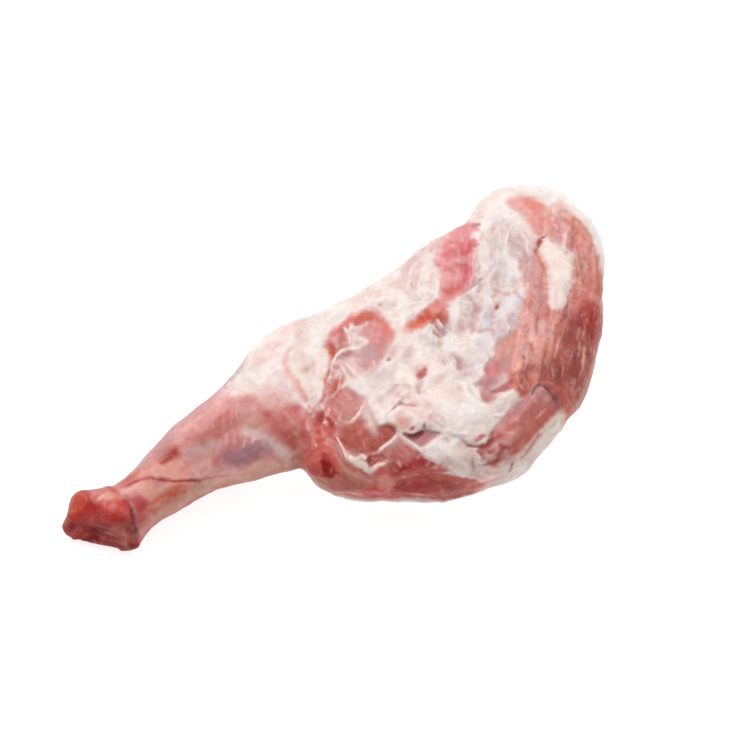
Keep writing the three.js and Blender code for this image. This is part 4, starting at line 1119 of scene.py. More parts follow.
def paint_rib_muscle(s):
    """The large cut muscle along the blade's edge, with the cream island in its upper part."""
    s.muscle("light muscle", [(85, -50), (89, -44), (97, -36), (105, -28), (118, -13), (123, -7),
        (129, -1), (143, 9), (149, 14), (153, 22), (157, 30), (163, 36), (170, 38), (178, 44), (184, 52),
        (191, 52), (195, 45), (197, 30), (195, 15), (189, 2), (182, -14), (173, -29), (167, -42),
        (157, -53), (142, -69), (126, -84), (110, -96), (95, -98), (99, -88), (103, -79), (104, -66),
        (100, -62), (92, -61), (86, -65), (82, -62), (83, -55)], soft=1.1, ragged=0.7, height=0.4,
        grain=0.75, turn=47, gloss=0.45, fray=0.95)
    s.patch("salmon", [(90, -42), (104, -26), (118, -10), (142, 8), (150, 4), (138, -10), (126, -24),
        (98, -44)], soft=4, ragged=2, strength=0.75)
    s.patch("salmon", [(100, -34), (112, -26), (124, -14), (136, -4), (142, -12), (118, -38), (106, -44)],
        soft=5, ragged=3, strength=0.45)
    s.patch("lean pink", [(126, -14), (140, 0), (148, -6), (134, -24)], soft=4, ragged=2)
    s.patch("lean pink", [(140, -22), (154, -18), (168, -4), (180, 6), (184, -6), (172, -26), (146, -32)],
        soft=4, ragged=2, strength=0.65)
    s.patch("brown muscle", [(100, -44), (112, -46), (126, -44), (134, -38), (146, -34), (160, -42),
        (152, -56), (134, -74), (108, -90), (104, -60)], soft=5, ragged=3, strength=0.75)
    s.patch("cut red", [(116, -54), (128, -46), (152, -28), (164, -24), (168, -36), (156, -50),
        (140, -62), (124, -66)], soft=5, ragged=2, strength=0.62)
    s.patch("cut red", [(146, -36), (156, -28), (164, -30), (160, -40), (150, -46)], ragged=2,
        strength=0.6)
    s.patch("dark muscle", [(106, -62), (112, -54), (122, -56), (126, -66), (118, -74), (108, -74)],
        soft=4, ragged=2)
    s.patch("dark muscle", [(120, -60), (132, -52), (138, -54), (130, -66), (120, -72)], ragged=2,
        strength=0.4)
    s.patch("muscle", [(84, -52), (88, -46), (95, -46), (97, -54), (95, -61), (87, -64), (83, -60)],
        soft=2.5, ragged=1.2, strength=0.8)
    s.patch("pink membrane", [(100, -36), (112, -24), (128, -8), (142, 4), (150, 0), (144, -14),
        (156, -24), (140, -30), (112, -42)], soft=5, ragged=3, strength=0.35)
    s.patch("orange muscle", [(99, -80), (106, -80), (108, -88), (98, -96), (94, -97), (98, -88)],
        soft=2.5, strength=0.7)
    s.patch("rust", [(172, -20), (180, -10), (190, 4), (194, 2), (188, -10), (176, -28)], soft=2.5,
        ragged=1.2, strength=0.6)
    s.patch("brown muscle", [(170, -4), (182, 10), (184, 4), (178, -4), (172, -8)], soft=2.5, ragged=1.5,
        strength=0.65)
    s.patch("lean pink", [(176, 10), (180, 20), (188, 22), (190, 12), (184, 6)], ragged=1.5, strength=0.6)
    s.strokes("salmon", [((0.6, 1.6), (121, -49), (132, -38)), ((0.6, 1.4), (133, -38), (150, -21)),
        ((0.8, 1.6), (128, -31), (141, -17)), ((0.6, 1.2), (106, -67), (113, -57)), ((0.6, 1.2),
        (117, -63), (124, -53)), ((0.6, 1.6), (130, -67), (140, -54)), ((0.6, 1.2), (144, -48),
        (156, -35)), ((0.6, 1.2), (158, -22), (170, -8)), ((0.6, 1.2), (100, -48), (110, -38)),
        ((0.6, 1.2), (112, -80), (122, -70)), ((0.6, 1.4), (148, -26), (158, -14)), ((0.6, 1.2),
        (102, -58), (108, -50)), ((0.6, 1.2), (88, -58), (90, -48)), ((0.6, 1.2), (92, -60), (94, -50)),
        ((0.6, 1.2), (160, -14), (170, -2)), ((0.8, 1.6), (134, -38), (150, -24)), ((0.8, 1.4),
        (120, -50), (130, -40)), ((0.8, 1.6), (130, -68), (136, -60), (142, -53))], strength=0.75,
        soft=0.9, height=0.3)
    s.dabs("pale membrane", [(110, -36, 9, 6, 45), (104, -42, 6, 4, 40), (118, -27, 8, 5, 45)],
        strength=0.35)
    s.dabs("muscle", [(140, -31, 10, 5, 40), (134, -36, 8, 4, 45)], strength=0.35)
    s.dabs("pink membrane", [(168, -10, 8, 5, 50)], strength=0.35)
    s.patch("deep blood", [(148, -44), (164, -28), (166, -34), (158, -46), (150, -52)], soft=3.5,
        ragged=2, strength=0.35)
    s.patch("muscle", [(168, -10), (174, -6), (182, -10), (182, -18), (172, -18)], ragged=1.5)
    s.patch("beige", [(172, -1), (177, 7), (182, 9), (182, 2), (176, -5)], soft=2.2, ragged=1.5,
        strength=0.6)
    s.strokes("pale membrane", [((0.6, 1.4), (134, -57), (141, -49)), ((0.5, 1), (123, -47), (127, -43)),
        ((0.8, 1.6), (91, -41), (102, -30), (112, -18)), ((0.6, 1), (137, -52), (141, -49)), ((0.8, 1.8),
        (172, -6), (176, -3), (180, -1)), ((0.5, 1), (142, -45), (148, -39)), ((0.5, 1), (110, -33),
        (115, -28))], strength=0.65, soft=0.9, height=0.3)
    s.strokes("cut red", [((0.6, 1.8), (108, -52), (118, -42)), ((0.6, 1.6), (120, -28), (128, -18)),
        ((0.6, 1.6), (134, -30), (146, -26)), ((0.8, 1.8), (142, -22), (152, -14)), ((0.6, 1.6),
        (108, -40), (112, -32)), ((0.6, 1.6), (136, 2), (146, 4)), ((0.6, 1.4), (126, -10), (132, -4)),
        ((0.8, 1.8), (158, -10), (168, 0)), ((0.6, 1.4), (98, -44), (102, -38)), ((0.8, 2), (176, -8),
        (186, 2)), ((0.6, 1.4), (112, -26), (117, -22)), ((0.6, 1.4), (134, -20), (140, -14))],
        strength=0.55, soft=1.1, height=-0.3)
    s.strokes("dark muscle", [((1, 1.8), (86, -61.5), (93, -62.5), (100, -61.5)), ((1.2, 2), (150, -20),
        (160, -10)), ((1, 1.8), (118, -76), (130, -64)), ((0.8, 1.4), (140, -60), (152, -48))],
        strength=0.55, soft=1.1, height=-0.5)
    paint_rib_upper(s)


def paint_rib_upper(s):
    """The strands, the cream island and the pale streaks at the top of the rib muscle."""
    s.patch("pink membrane", [(112, -20), (120, -10), (130, -1), (140, 5), (145, 12), (150, 4), (142, -6),
        (130, -16), (120, -24)], ragged=2)
    s.patch("old rose", [(140, 8), (148, 14), (154, 26), (152, 32), (144, 28), (138, 18)], soft=4,
        ragged=2)
    s.strokes("mauve", [((2.4, 1.2), (139, 8), (146, 18), (151, 27)), ((2, 1), (134, 8), (142, 18),
        (147, 26))], strength=0.5, soft=1.4)
    s.strokes("rose", [((3, 1.4), (138, 4), (146, 14), (152, 26)), ((2.4, 1), (144, 6), (152, 17),
        (156, 27))], soft=1.4)
    s.strokes("pale membrane", [((0.8, 1.4), (118, -16), (133, 1)), ((0.8, 1.2), (124, -16), (133, -6)),
        ((0.8, 1.4), (137, 2), (143, 11)), ((0.6, 1.2), (130, -12), (139, -2))], soft=1.1, height=0.3)
    s.strokes("brown muscle", [((1.6, 2.2), (145.6, -2), (151, 8), (155, 18), (157.4, 29))], strength=0.4,
        soft=1.3, height=-0.5)
    s.fat("cream", [(140, -14), (142, -19), (146, -20.4), (151, -18), (157, -13), (169, -1), (173, 5),
        (177.6, 11), (175.6, 17), (173, 24), (172, 30), (167, 33.4), (162, 30.4), (158.4, 27), (157, 20),
        (154, 11), (147, -1), (144, -7)], soft=2, ragged=1.4, height=0.5)
    s.patch("blush fat", [(140, -14), (146, -20), (158, -11), (160, -2), (150, 0)], strength=0.9)
    s.patch("warm fat", [(150, -8), (158, -4), (170, 6), (172, 20), (166, 30), (158, 16)], soft=4,
        strength=0.45)
    s.patch("pale membrane", [(149, 0), (154, 12), (157, 26), (160, 24), (155, 6)], soft=2)
    s.patch("pearl", [(171, 10), (177, 11), (178, 19), (176, 28), (171, 31), (172, 22)], soft=2,
        strength=0.7)
    s.strokes("pale membrane", [((1, 2), (172, -2), (177, 7), (180, 14)), ((1, 2), (178, 14), (180, 22),
        (181, 30)), ((0.8, 1.6), (164, -12), (171, -5)), ((0.8, 1.4), (180, 4), (184, 12))],
        strength=0.65, soft=1.6, height=0.2)
    s.dabs("old rose", [(176, 28, 2.8, 2, 60), (173, 16, 1.4, 2, 0), (177, 20, 1.2, 2.4, 10)],
        strength=0.7, soft=0.8)
    s.strokes("old rose", [((1.2, 0.8), (144, -16), (150, -6)), ((1, 0.8), (153, -15), (159, -5))],
        strength=0.4, soft=1.1)
    s.patch("pink membrane", [(176, 30), (178, 21), (184, 24), (188, 31), (188, 49), (184, 51),
        (179, 44)], soft=2.6, ragged=1.6, strength=0.85)
    s.dabs("pale membrane", [(181, 28, 2, 3, 20), (185, 36, 1.8, 3.4, 10), (180, 38, 1.6, 3, 30)],
        height=0.3)
    s.strokes("rose", [((1.4, 2.4), (171, 27), (176, 35), (181, 44)), ((1.2, 1.8), (176, 26), (181, 35),
        (184, 43))], soft=1.2, height=-0.2)
    s.patch("pink membrane", [(172, -4), (182, 12), (190, 18), (194, 8), (184, -8), (174, -18)], soft=4,
        ragged=2, strength=0.3)
    s.patch("salmon", [(186, 20), (189, 44), (194, 45), (198, 34), (197, 22), (192, 12)], ragged=1.4,
        strength=0.8)
    s.dabs("orange muscle", [(190.4, 28, 2, 7, 0), (189.4, 38, 1.6, 4, 0), (192, 18, 1.6, 4, 15)],
        strength=0.4)
    s.dabs("beige", [(195.4, 28, 1.6, 8, 0)], strength=0.4)
    s.patch("salmon", [(184, 8), (188, 20), (193, 16), (191, 4), (186, 0)], soft=2.5, ragged=1.5,
        strength=0.6)
    s.patch("pale membrane", [(184, 45), (189, 55), (196, 52), (197, 41)], strength=0.85)


def paint_blade_tip(s):
    """The salmon muscle at the blade's far corner, and the fat edge beyond it."""
    s.muscle("salmon", [(163, 74), (169, 74), (176, 70), (181, 64), (184, 57), (183, 50), (179, 44),
        (173, 39), (168, 35), (166, 40), (167, 50), (167, 58), (165, 66)], soft=2.4, ragged=1.2,
        height=-0.2, grain=0.1, turn=-30, fray=0.9)
    s.patch("pale membrane", [(162, 74), (170, 74), (174, 66), (170, 54)], soft=4, strength=0.6)
    s.patch("pink membrane", [(164, 72), (178, 68), (182, 56), (176, 42), (168, 44), (166, 58)], soft=4,
        strength=0.45)
    s.patch("orange muscle", [(172, 68), (178, 68), (182, 60), (180, 54), (174, 57)], soft=4,
        strength=0.35)
    s.patch("lean pink", [(168, 46), (176, 52), (180, 46), (168, 38)])
    s.strokes("rose", [(1.4, (166, 36), (170, 42))], strength=0.4, soft=1.5)
    s.strokes("pale membrane", [((1, 1.6), (170, 36), (176, 44), (181, 52)), (1.2, (169, 40), (172, 50))],
        strength=0.7, height=0.3)
    s.strokes("dark mauve", [((1.2, 2.6), (157, 29), (161, 31), (164, 34.5), (168, 35))], strength=0.9,
        soft=0.9, height=-0.9)
    s.spot("cut red", (164, 33.6), (2.2, 1.4), turn=30, soft=0.7, strength=0.8)
    s.spot("blush fat", (167, 33.4), (1.8, 1.1), turn=-30, soft=0.9, height=0.3)
    s.patch("white fat", [(197, 52), (199, 34), (198, 16), (192, 0), (186, -14), (200, -10), (230, 10),
        (230, 70), (196, 96), (160, 96), (176, 78), (188, 64), (190, 56)], soft=2.5, ragged=0.8,
        strength=1)
    s.wrinkle([(197, 52), (199, 16), (188, -10), (230, 0), (230, 80), (180, 96), (150, 90), (160, 76),
        (182, 70)], 0.15)
    s.dabs("pale membrane", [(192, 46, 4, 5, 0), (194, 53, 3, 3, 0)], strength=0.9)
    s.strokes("warm fat", [((1.6, 2), (198, 12), (199.6, 26), (199, 40), (195, 54)), (2, (186, 62),
        (180, 72), (172, 78))], soft=1.6)


def paint_round_muscle(s):
    """The round cut muscle at the near edge and the pale edge below it."""
    s.muscle("muscle", [(38, -80), (45, -79), (50, -76), (57, -74), (63, -71), (78, -66), (85, -64.5),
        (92, -64), (98, -61), (106, -60), (110, -74), (106, -84), (98, -87), (90, -89), (70, -95),
        (62, -97), (52, -98), (44, -97), (38, -94), (36, -88)], soft=2, ragged=1.1, height=0.3, grain=0.3,
        turn=20, fray=0.9)
    s.patch("pink membrane", [(56, -74), (64, -70), (80, -65), (98, -61), (102, -66), (92, -69),
        (76, -73), (60, -77)], ragged=1.5, strength=0.75)
    s.patch("mauve", [(72, -70), (84, -66), (98, -62), (101, -72), (96, -80), (90, -72), (78, -73)],
        ragged=1.5)
    s.patch("olive beige", [(58, -82), (70, -80), (78, -84), (70, -89), (60, -90)], soft=4, ragged=1.5,
        strength=0.3)
    s.patch("old rose", [(40, -82), (54, -80), (74, -76), (96, -70), (98, -78), (84, -83), (62, -87),
        (44, -92)], soft=5, ragged=2, strength=0.22)
    s.patch("grey mauve", [(37, -81), (54, -82), (56, -92), (47, -97), (38, -94)], ragged=1.5)
    s.dabs("pink membrane", [(49, -88, 8, 5, 0), (60, -84, 8, 3, 10)], strength=0.4)
    s.strokes("cut red", [(3, (39, -81), (44, -82), (50, -80)), (3.4, (38, -93.5), (43, -94), (47, -91.5),
        (52, -89)), (2.4, (52, -86), (55, -91)), (2.4, (42, -86), (46, -87))], strength=0.75, soft=1.4,
        height=-0.5)
    s.strokes("dark muscle", [(2, (40, -80.4), (44, -81), (49, -79)), (1.8, (41, -93.4), (44, -94)),
        (1.6, (47, -90.5), (49, -91.5)), (1.4, (36, -82), (37, -88))], strength=0.7, height=-0.4)
    s.strokes("pale membrane", [(1.6, (39, -87.5), (42, -89)), (1.4, (50, -84), (48, -88)),
        (1.4, (50, -95.5), (55, -97)), (1.4, (42, -97), (48, -97.5)), (1, (58, -79), (64, -82)),
        (1, (84, -82), (92, -79)), (0.9, (66, -76), (74, -74))], height=0.25)
    s.strokes("dark mauve", [((1.4, 2.8), (92, -64.5), (98, -61.5), (102, -64), (104, -70), (102.5, -78),
        (99, -85))], strength=0.9, soft=1.1, height=-1.4)
    s.strokes("dark blood", [((0.6, 1.4), (98, -61.4), (102.4, -65), (103.4, -71), (102, -77))],
        strength=0.45, soft=0.8, height=-0.4)
    s.patch("pale rim", [(98, -86), (101, -89), (94, -97), (65, -111), (50, -113), (28, -112), (20, -107),
        (32, -103), (44, -99), (58, -99), (86, -91)], soft=2.2, ragged=1.2, strength=0.7)
    s.patch("warm fat", [(84, -91), (96, -86), (101, -86), (96, -96), (86, -96)], soft=2, strength=0.6)
    s.patch("pearl", [(50, -101), (64, -100), (84, -94), (80, -104), (64, -110), (46, -112)], ragged=1.5)
    s.strokes("warm fat", [((2, 3), (54, -99), (66, -96.5), (94, -87.5))], soft=1.4)
    s.strokes("muscle", [((1.6, 2.8), (58, -101), (78, -93.5))], soft=1.4)
    s.strokes("dark muscle", [((1, 2), (45, -104.6), (48, -103), (50, -101.4))], strength=0.8,
        height=-0.4)
    s.strokes("rose", [(1.6, (38, -100), (46, -99.6), (54, -100)), (1.6, (30, -104), (42, -106)),
        (1.2, (60, -105), (72, -100))], strength=0.4, soft=1.5)


def pocket_distance(place):
    """How far points lie from the middle of the pocket beside the crook, where 1 is its wall."""
    away = place - POCKET_AT
    c, sn = math.cos(POCKET_TURN), math.sin(POCKET_TURN)
    along, across = away[:, 0] * c + away[:, 1] * sn, away[:, 1] * c - away[:, 0] * sn
    return np.sqrt((along / POCKET_HALF[0]) ** 2 + (across / POCKET_HALF[1]) ** 2
                   + (away[:, 2] / POCKET_HALF[2]) ** 2)


def paint_hidden(s):
    """The sides that face away: the raw knuckle, the shank's membrane and the outer fat, in plan."""
    place = s.place
    x, z = place[:, 0], place[:, 2]
    hidden = 1 - s.seen
    flesh = np.tile(linear("cream"), (len(x), 1))
    shade = rough_noise(place, 38, 31)
    veil = smooth_step(0.5 + (shade - 0.05) * 1.2)[:, None]
    flesh += (linear("blush fat") - flesh) * veil
    mottle = smooth_step((rough_noise(place, 22, 41) - 0.18) * 2.2)[:, None] * 0.6
    flesh += (linear("salmon") - flesh) * mottle
    low = smooth_step((14 - z) / 16)[:, None] * 0.35
    flesh += (linear("dull fascia") - flesh) * low
    shank = smooth_step((-74 - x + 22 * shade) / 40)[:, None]
    membrane = linear("rose") + (linear("pink membrane") - linear("rose")) * veil
    flesh += (membrane - flesh) * shank
    streaks = smooth_step((rough_noise(place * np.array([0.25, 1, 1]), 9, 51) - 0.3) * 2)[:, None]
    flesh += (linear("muscle") - flesh) * streaks * shank * 0.5
    raw = smooth_step((-186 - x + 3 * shade) / 6)[:, None]
    red = linear("muscle") + (linear("blood") - linear("muscle")) * veil
    flesh += (red - flesh) * raw
    s.flesh += (flesh - s.flesh) * hidden[:, None]
    s.cover += (flesh - s.cover) * hidden[:, None]
    bare = np.maximum(shank, raw)[:, 0]
    # The pocket's wall: wet red near its mouth, darkening to deep blood with depth, painted shade.
    in_pocket = smooth_step((1.22 - pocket_distance(place)) / 0.3)
    deep = smooth_step((POCKET_AT[2] + 2.5 - z) / 7)[:, None]
    lining_and_shade = linear("wet red") + (linear("deep blood") - linear("wet red")) * deep
    for layer in (s.flesh, s.cover):
        layer += (lining_and_shade - layer) * in_pocket[:, None]
    s.edge = np.where(in_pocket > 0.5, -COVER_REACH, s.edge)
    s.gloss += (0 - s.gloss) * in_pocket
    s.edge = np.where((hidden > 0.5) & (in_pocket < 0.5), COVER_REACH * (1 - 2 * bare), s.edge)
    s.grain += (0.25 * bare - s.grain) * hidden
    s.turn = np.where(hidden > 0.5, math.radians(8), s.turn)
    s.gloss += (0.35 + 0.2 * bare - s.gloss) * hidden


# ---- The meat: its form, its attributes and its material ---------------------------------------------

# Clouds of other tones over the flesh and the cover: each one's size, its tone and its strength.
FLESH_CLOUDS = ((12, "mauve", 0.35), (7, "salmon", 0.35), (4, "pink membrane", 0.35), (3, "muscle", 0.35),
                (1.9, "pink membrane", 0.2))
COVER_CLOUDS = ((15, "old rose", 0.16), (9, "warm fat", 0.35), (6, "blue pearl", 0.28), (4, "salmon", 0.16),
                (2.6, "old rose", 0.12), (2.2, "white fat", 0.5))


def along_fibres(s, seed):
    """Places measured along and across the fibres, bent a little so that no line is straight."""
    bend = 2.2 * soft_noise(s.place, 13, seed)
    sway = 2.2 * soft_noise(s.place, 16, seed + 1)
    c, sn = np.cos(s.turn), np.sin(s.turn)
    return s.x * c + s.y * sn + bend, s.y * c - s.x * sn + sway


def ridges(values):
    """Noise from -1 to 1 turned into thin crests, 1 on a crest."""
    return 1 - np.clip(np.abs(values) * 2.2, 0, 1)


def shifted(colours, base, tone, weight):
    """Shifts colours as far as one tone lies from another, so that dark marks stay dark."""
    return colours * (linear(tone) / linear(base)) ** weight[:, None]


def clouded(colours, base, clouds, place, share, seed):
    """Clouds colours softly towards other tones; a cloud is a size, a tone and a strength."""
    for i, (size, tone, strength) in enumerate(clouds):
        weight = smooth_step(1.5 * soft_noise(place, size, seed + i)) * strength * share
        colours = shifted(colours, base, tone, weight)
    return colours


def texture(s):
    """Mottles the flesh and crumples the cover, in colour and in form; gives the height it adds.
    The cover's colour carries painted shade in the valleys between folds and painted highlights on the
    crests.
    """
    along, across = along_fibres(s, 71)
    level = np.zeros(len(along))
    broad = np.stack([along / 2.2, across, s.place[:, 2] / 2], 1)
    folds = ridges(soft_noise(broad, 8.0, 72))
    small = ridges(soft_noise(broad, 3.6, 73))
    valley = smooth_step(0.5 - 1.1 * soft_noise(s.place, 10, 74) - 0.35 * folds)
    flush = smooth_step(rough_noise(s.place, 13, 77) * 1.7 - 0.1)
    bundles = soft_noise(np.stack([along / 6, across, level], 1), 3.0, 75)
    blotch = rough_noise(s.place, 9, 76)
    amount = (s.crumple * s.seen + 0.5 * (1 - s.seen)) * (1 - 0.5 * s.drawn)
    white = amount * (1 - s.drawn) * smooth_step(2.2 * s.cover.mean(1) - 0.7)
    cover = clouded(s.cover, "cream", COVER_CLOUDS, s.place, 0.25 + 0.7 * s.crumple, 101)
    # Painted shade: the cover greys towards mauve in the valleys between its folds.
    cover = shifted(cover, "cream", "grey mauve", 0.42 * amount * valley)
    cover = shifted(cover, "cream", "salmon", 0.28 * amount * flush)
    # Painted highlights: the crests of the folds are whitened, as far as white allows.
    crest = np.clip(0.6 * white * smooth_step(1.5 * folds - 0.45), 0, 1)
    small_crest_highlight = 0.35 * white * smooth_step(1.5 * small - 0.5)
    for weight in (crest, small_crest_highlight):
        cover += (linear("white fat") - cover) * weight[:, None]
    smooth = np.clip(0.35 + 0.95 * s.grain, 0, 1) * (1 - 0.3 * s.drawn)
    flesh = clouded(s.flesh, "rose", FLESH_CLOUDS, s.place, smooth, 111)
    flesh = shifted(flesh, "muscle", "salmon", 0.35 * s.grain * smooth_step(bundles * 1.6 - 0.2))
    flesh = shifted(flesh, "muscle", "dark muscle", 0.45 * s.grain * smooth_step(-bundles * 1.6 - 0.2))
    flesh = flesh * (1 + 0.16 * s.grain * bundles + 0.07 * blotch)[:, None]
    s.cover, s.flesh = cover, flesh
    covered = smooth_step(0.5 + s.edge / 4)
    lift = amount * (1.1 * folds + 0.4 * small - 1.1 * valley)
    return lift * (0.35 + 0.65 * covered) + s.grain * 0.55 * bundles * (1 - covered)


def sculpt(mesh, s):
    """Raises and sinks the surface by its features, its fat's thickness and its own unevenness."""
    thin = 2.4 + 6 * s.fray
    thick = FAT_THICKNESS * (1 - 0.55 * s.fray) * (smooth_step(0.5 + s.edge / thin) - 1)
    lumps = 1.0 * soft_noise(s.place, 19, 61) + 0.7 * soft_noise(s.place, 9, 62)
    lumps += 0.3 * soft_noise(s.place, 3.6, 63)
    height = s.relief + thick + lumps * 0.8 + texture(s)
    resting = smooth_step((s.place[:, 2] - 0.6) / 5)
    place = s.place + s.normal * (height * resting)[:, None]
    place[:, 2] = np.maximum(place[:, 2], 0)
    mesh.vertices.foreach_set("co", (place * MM).astype(np.float32).ravel())
    mesh.update()


def write_attributes(mesh, s):
    """Stores on the mesh what its material reads."""
    count = len(s.x)
    for name, colours in (("flesh", s.flesh), ("cover", s.cover)):
        layer = mesh.attributes.new(name, "FLOAT_COLOR", "POINT")
        full = np.ones((count, 4), np.float32)
        full[:, :3] = np.clip(colours, 0, 1)
        layer.data.foreach_set("color", full.ravel())
    for name in ("edge", "grain", "gloss", "fray", "film", "crumple"):
        layer = mesh.attributes.new(name, "FLOAT", "POINT")
        layer.data.foreach_set("value", getattr(s, name).astype(np.float32))
    along, across = along_fibres(s, 81)
    fibre = np.stack([along, across, s.place[:, 2]], axis=1)
    layer = mesh.attributes.new("fibre", "FLOAT_VECTOR", "POINT")
    layer.data.foreach_set("vector", fibre.astype(np.float32).ravel())


class Value:
    """A socket that carries a number or a vector, with the usual sums as shader nodes."""

    def __init__(self, nodes, socket):
        self.nodes = nodes
        self.socket = socket

    def sum(self, kind, *others, clamp=False):
        node = self.nodes.tree.nodes.new("ShaderNodeMath")
        node.operation = kind
        node.use_clamp = clamp
        for i, term in enumerate((self, *others)):
            self.nodes.feed(node.inputs[i], term)
        return Value(self.nodes, node.outputs[0])

    def __add__(self, other):
        return self.sum("ADD", other)

    def __radd__(self, other):
        return self.sum("ADD", other)

    def __mul__(self, other):
        return self.sum("MULTIPLY", other)

    def __rmul__(self, other):
        return self.sum("MULTIPLY", other)

    def __sub__(self, other):
        return self.sum("SUBTRACT", other)

    def __rsub__(self, other):
        return (self * -1) + other

    def __truediv__(self, other):
        return self.sum("DIVIDE", other)

    def clamp(self):
        return self.sum("ADD", 0.0, clamp=True)


class Nodes:
    """The nodes of one material."""

    def __init__(self, name):
        self.material = bpy.data.materials.new(name)
        self.material.use_nodes = True
        self.tree = self.material.node_tree
        self.tree.nodes.clear()

    def feed(self, socket, value):
        if isinstance(value, Value):
            self.tree.links.new(value.socket, socket)
        else:
            socket.default_value = value

    def add(self, kind, settings=None, output=0, **inputs):
        """A node of any kind: its settings first, then its inputs by name."""
        node = self.tree.nodes.new(kind)
        for key, value in (settings or {}).items():
            setattr(node, key, value)
        for key, value in inputs.items():
            self.feed(node.inputs[key.replace("_", " ")], value)
        return Value(self, node.outputs[output])

    def attribute(self, name, output="Fac"):
        return self.add("ShaderNodeAttribute", {"attribute_name": name}, output)

    def noise(self, vector, scale, detail, roughness, distortion):
        return self.add("ShaderNodeTexNoise", None, "Fac", Vector=vector, Scale=scale, Detail=detail,
                        Roughness=roughness, Distortion=distortion)

    def stretched(self, vector, scale):
        return self.add("ShaderNodeMapping", None, 0, Vector=vector, Scale=scale)

    def ramp(self, value, low, high):
        """Nought below low, one above high, smooth between."""
        return self.add("ShaderNodeMapRange", {"interpolation_type": "SMOOTHSTEP"}, 0, Value=value,
                        From_Min=low, From_Max=high)

    def blend(self, share, first, second):
        """Two colours mixed, where share is how much of the second."""
        node = self.tree.nodes.new("ShaderNodeMix")
        node.data_type = "RGBA"
        self.feed(node.inputs[0], share)
        self.feed(node.inputs[6], first)
        self.feed(node.inputs[7], second)
        return Value(self, node.outputs[2])

    def finish(self, inputs):
        """The material, ended in one surface shader with these inputs."""
        shader = self.tree.nodes.new("ShaderNodeBsdfPrincipled")
        for name, value in inputs.items():
            self.feed(shader.inputs[name], value)
        output = self.tree.nodes.new("ShaderNodeOutputMaterial")
        self.tree.links.new(shader.outputs[0], output.inputs[0])
        return self.material


def crests(n, vector, scale, detail, distortion):
    """Thin branching lines, one along their middles."""
    fall = n.noise(vector, scale, detail, 0.5, distortion) - 0.5
    return 1 - (fall.sum("ABSOLUTE") * 9).clamp()


# What the meat's material mixes into the painted colours, as linear light.
PALE_STRAND = (0.74, 0.42, 0.36, 1.0)
DARK_STRAND = (0.24, 0.06, 0.05, 1.0)
PALE_MOTTLE = (0.76, 0.42, 0.38, 1.0)
BLOOD_SPECK = (0.36, 0.08, 0.07, 1.0)
FAT_MOTTLE = (0.68, 0.46, 0.43, 1.0)
FAT_WEB = (0.95, 0.88, 0.84, 1.0)
FAT_SPECK = (0.62, 0.44, 0.41, 1.0)
WHITE_FILM = (0.86, 0.76, 0.73, 1.0)


def meat_material():
    """Wet raw meat: flesh with its fibres, fat with its fine folds, and a moist skin over both."""
    n = Nodes("raw meat")
    place = n.add("ShaderNodeTexCoord", None, "Object")
    fibre = n.attribute("fibre", "Vector")
    edge = n.attribute("edge")
    grain = n.attribute("grain")
    gloss = n.attribute("gloss")
    fray = n.attribute("fray")
    film = n.attribute("film")
    crumple = n.attribute("crumple")
    strands = n.noise(n.stretched(fibre, (0.09, 0.7, 0.3)), 1.0, 4.0, 0.65, 0.6)
    fine_strands = n.noise(n.stretched(fibre, (0.3, 2.2, 0.8)), 1.0, 3.0, 0.65, 0.5)
    mottle = n.noise(place, 130.0, 4.0, 0.6, 0.5)
    speckle = n.noise(place, 520.0, 3.0, 0.6, 0.2)
    web = crests(n, place, 150.0, 3.0, 1.6)
    fine_web = crests(n, place, 380.0, 2.0, 1.2)
    torn = (n.noise(place, 150.0, 4.0, 0.55, 0.4) - 0.5) * (1.0 + fray * 4)
    torn = torn + (web - 0.35) * fray * 1.2
    covered = n.ramp((edge + torn) / (0.5 + fray * 3.6), -1.0, 1.0).sum("POWER", 1.6)
    pale = (n.ramp(strands, 0.52, 0.7) * grain * 0.6).clamp()
    dark = (n.ramp(fine_strands, 0.48, 0.3) * grain * 0.55).clamp()
    flesh = n.blend(pale, n.attribute("flesh", "Color"), PALE_STRAND)
    flesh = n.blend(dark, flesh, DARK_STRAND)
    flesh = n.blend(n.ramp(mottle, 0.52, 0.72) * 0.25, flesh, PALE_MOTTLE)
    flesh = n.blend(n.ramp(speckle, 0.55, 0.75) * 0.2, flesh, BLOOD_SPECK)
    cover = n.blend(n.ramp(mottle, 0.5, 0.7) * 0.25, n.attribute("cover", "Color"), FAT_MOTTLE)
    cover = n.blend(fine_web * crumple * 0.18, cover, FAT_WEB)
    cover = n.blend(n.ramp(speckle, 0.5, 0.3) * crumple * 0.12, cover, FAT_SPECK)
    colour = n.blend(covered, flesh, cover)
    filmed = (film * (0.6 + n.ramp(mottle, 0.4, 0.65) * 0.8)).clamp()
    colour = n.blend(filmed, colour, WHITE_FILM)
    wet = (gloss + (n.ramp(mottle, 0.4, 0.65) - 0.5) * 0.3).clamp()
    height = (strands + fine_strands * 0.6) * grain * (1 - covered) * 0.7
    height = height + speckle * 0.2 + mottle * 0.45 + covered * 0.3 + filmed * 0.2
    height = height + (web * 0.35 + fine_web * 0.12) * crumple * covered
    bump = n.add("ShaderNodeBump", None, 0, Strength=0.6, Distance=0.0014, Height=height)
    return n.finish({
        "Base Color": colour,
        "Roughness": 0.5 - wet * 0.15,
        "Normal": bump,
        "IOR": 1.38,
        "Specular IOR Level": 0.2,
        "Coat Weight": wet * 0.3,
        "Coat Roughness": 0.12,
        "Coat IOR": 1.33,
        "Subsurface Weight": 0.1,
        "Subsurface Radius": (1.0, 0.35, 0.2),
        "Subsurface Scale": 0.0012,
    })


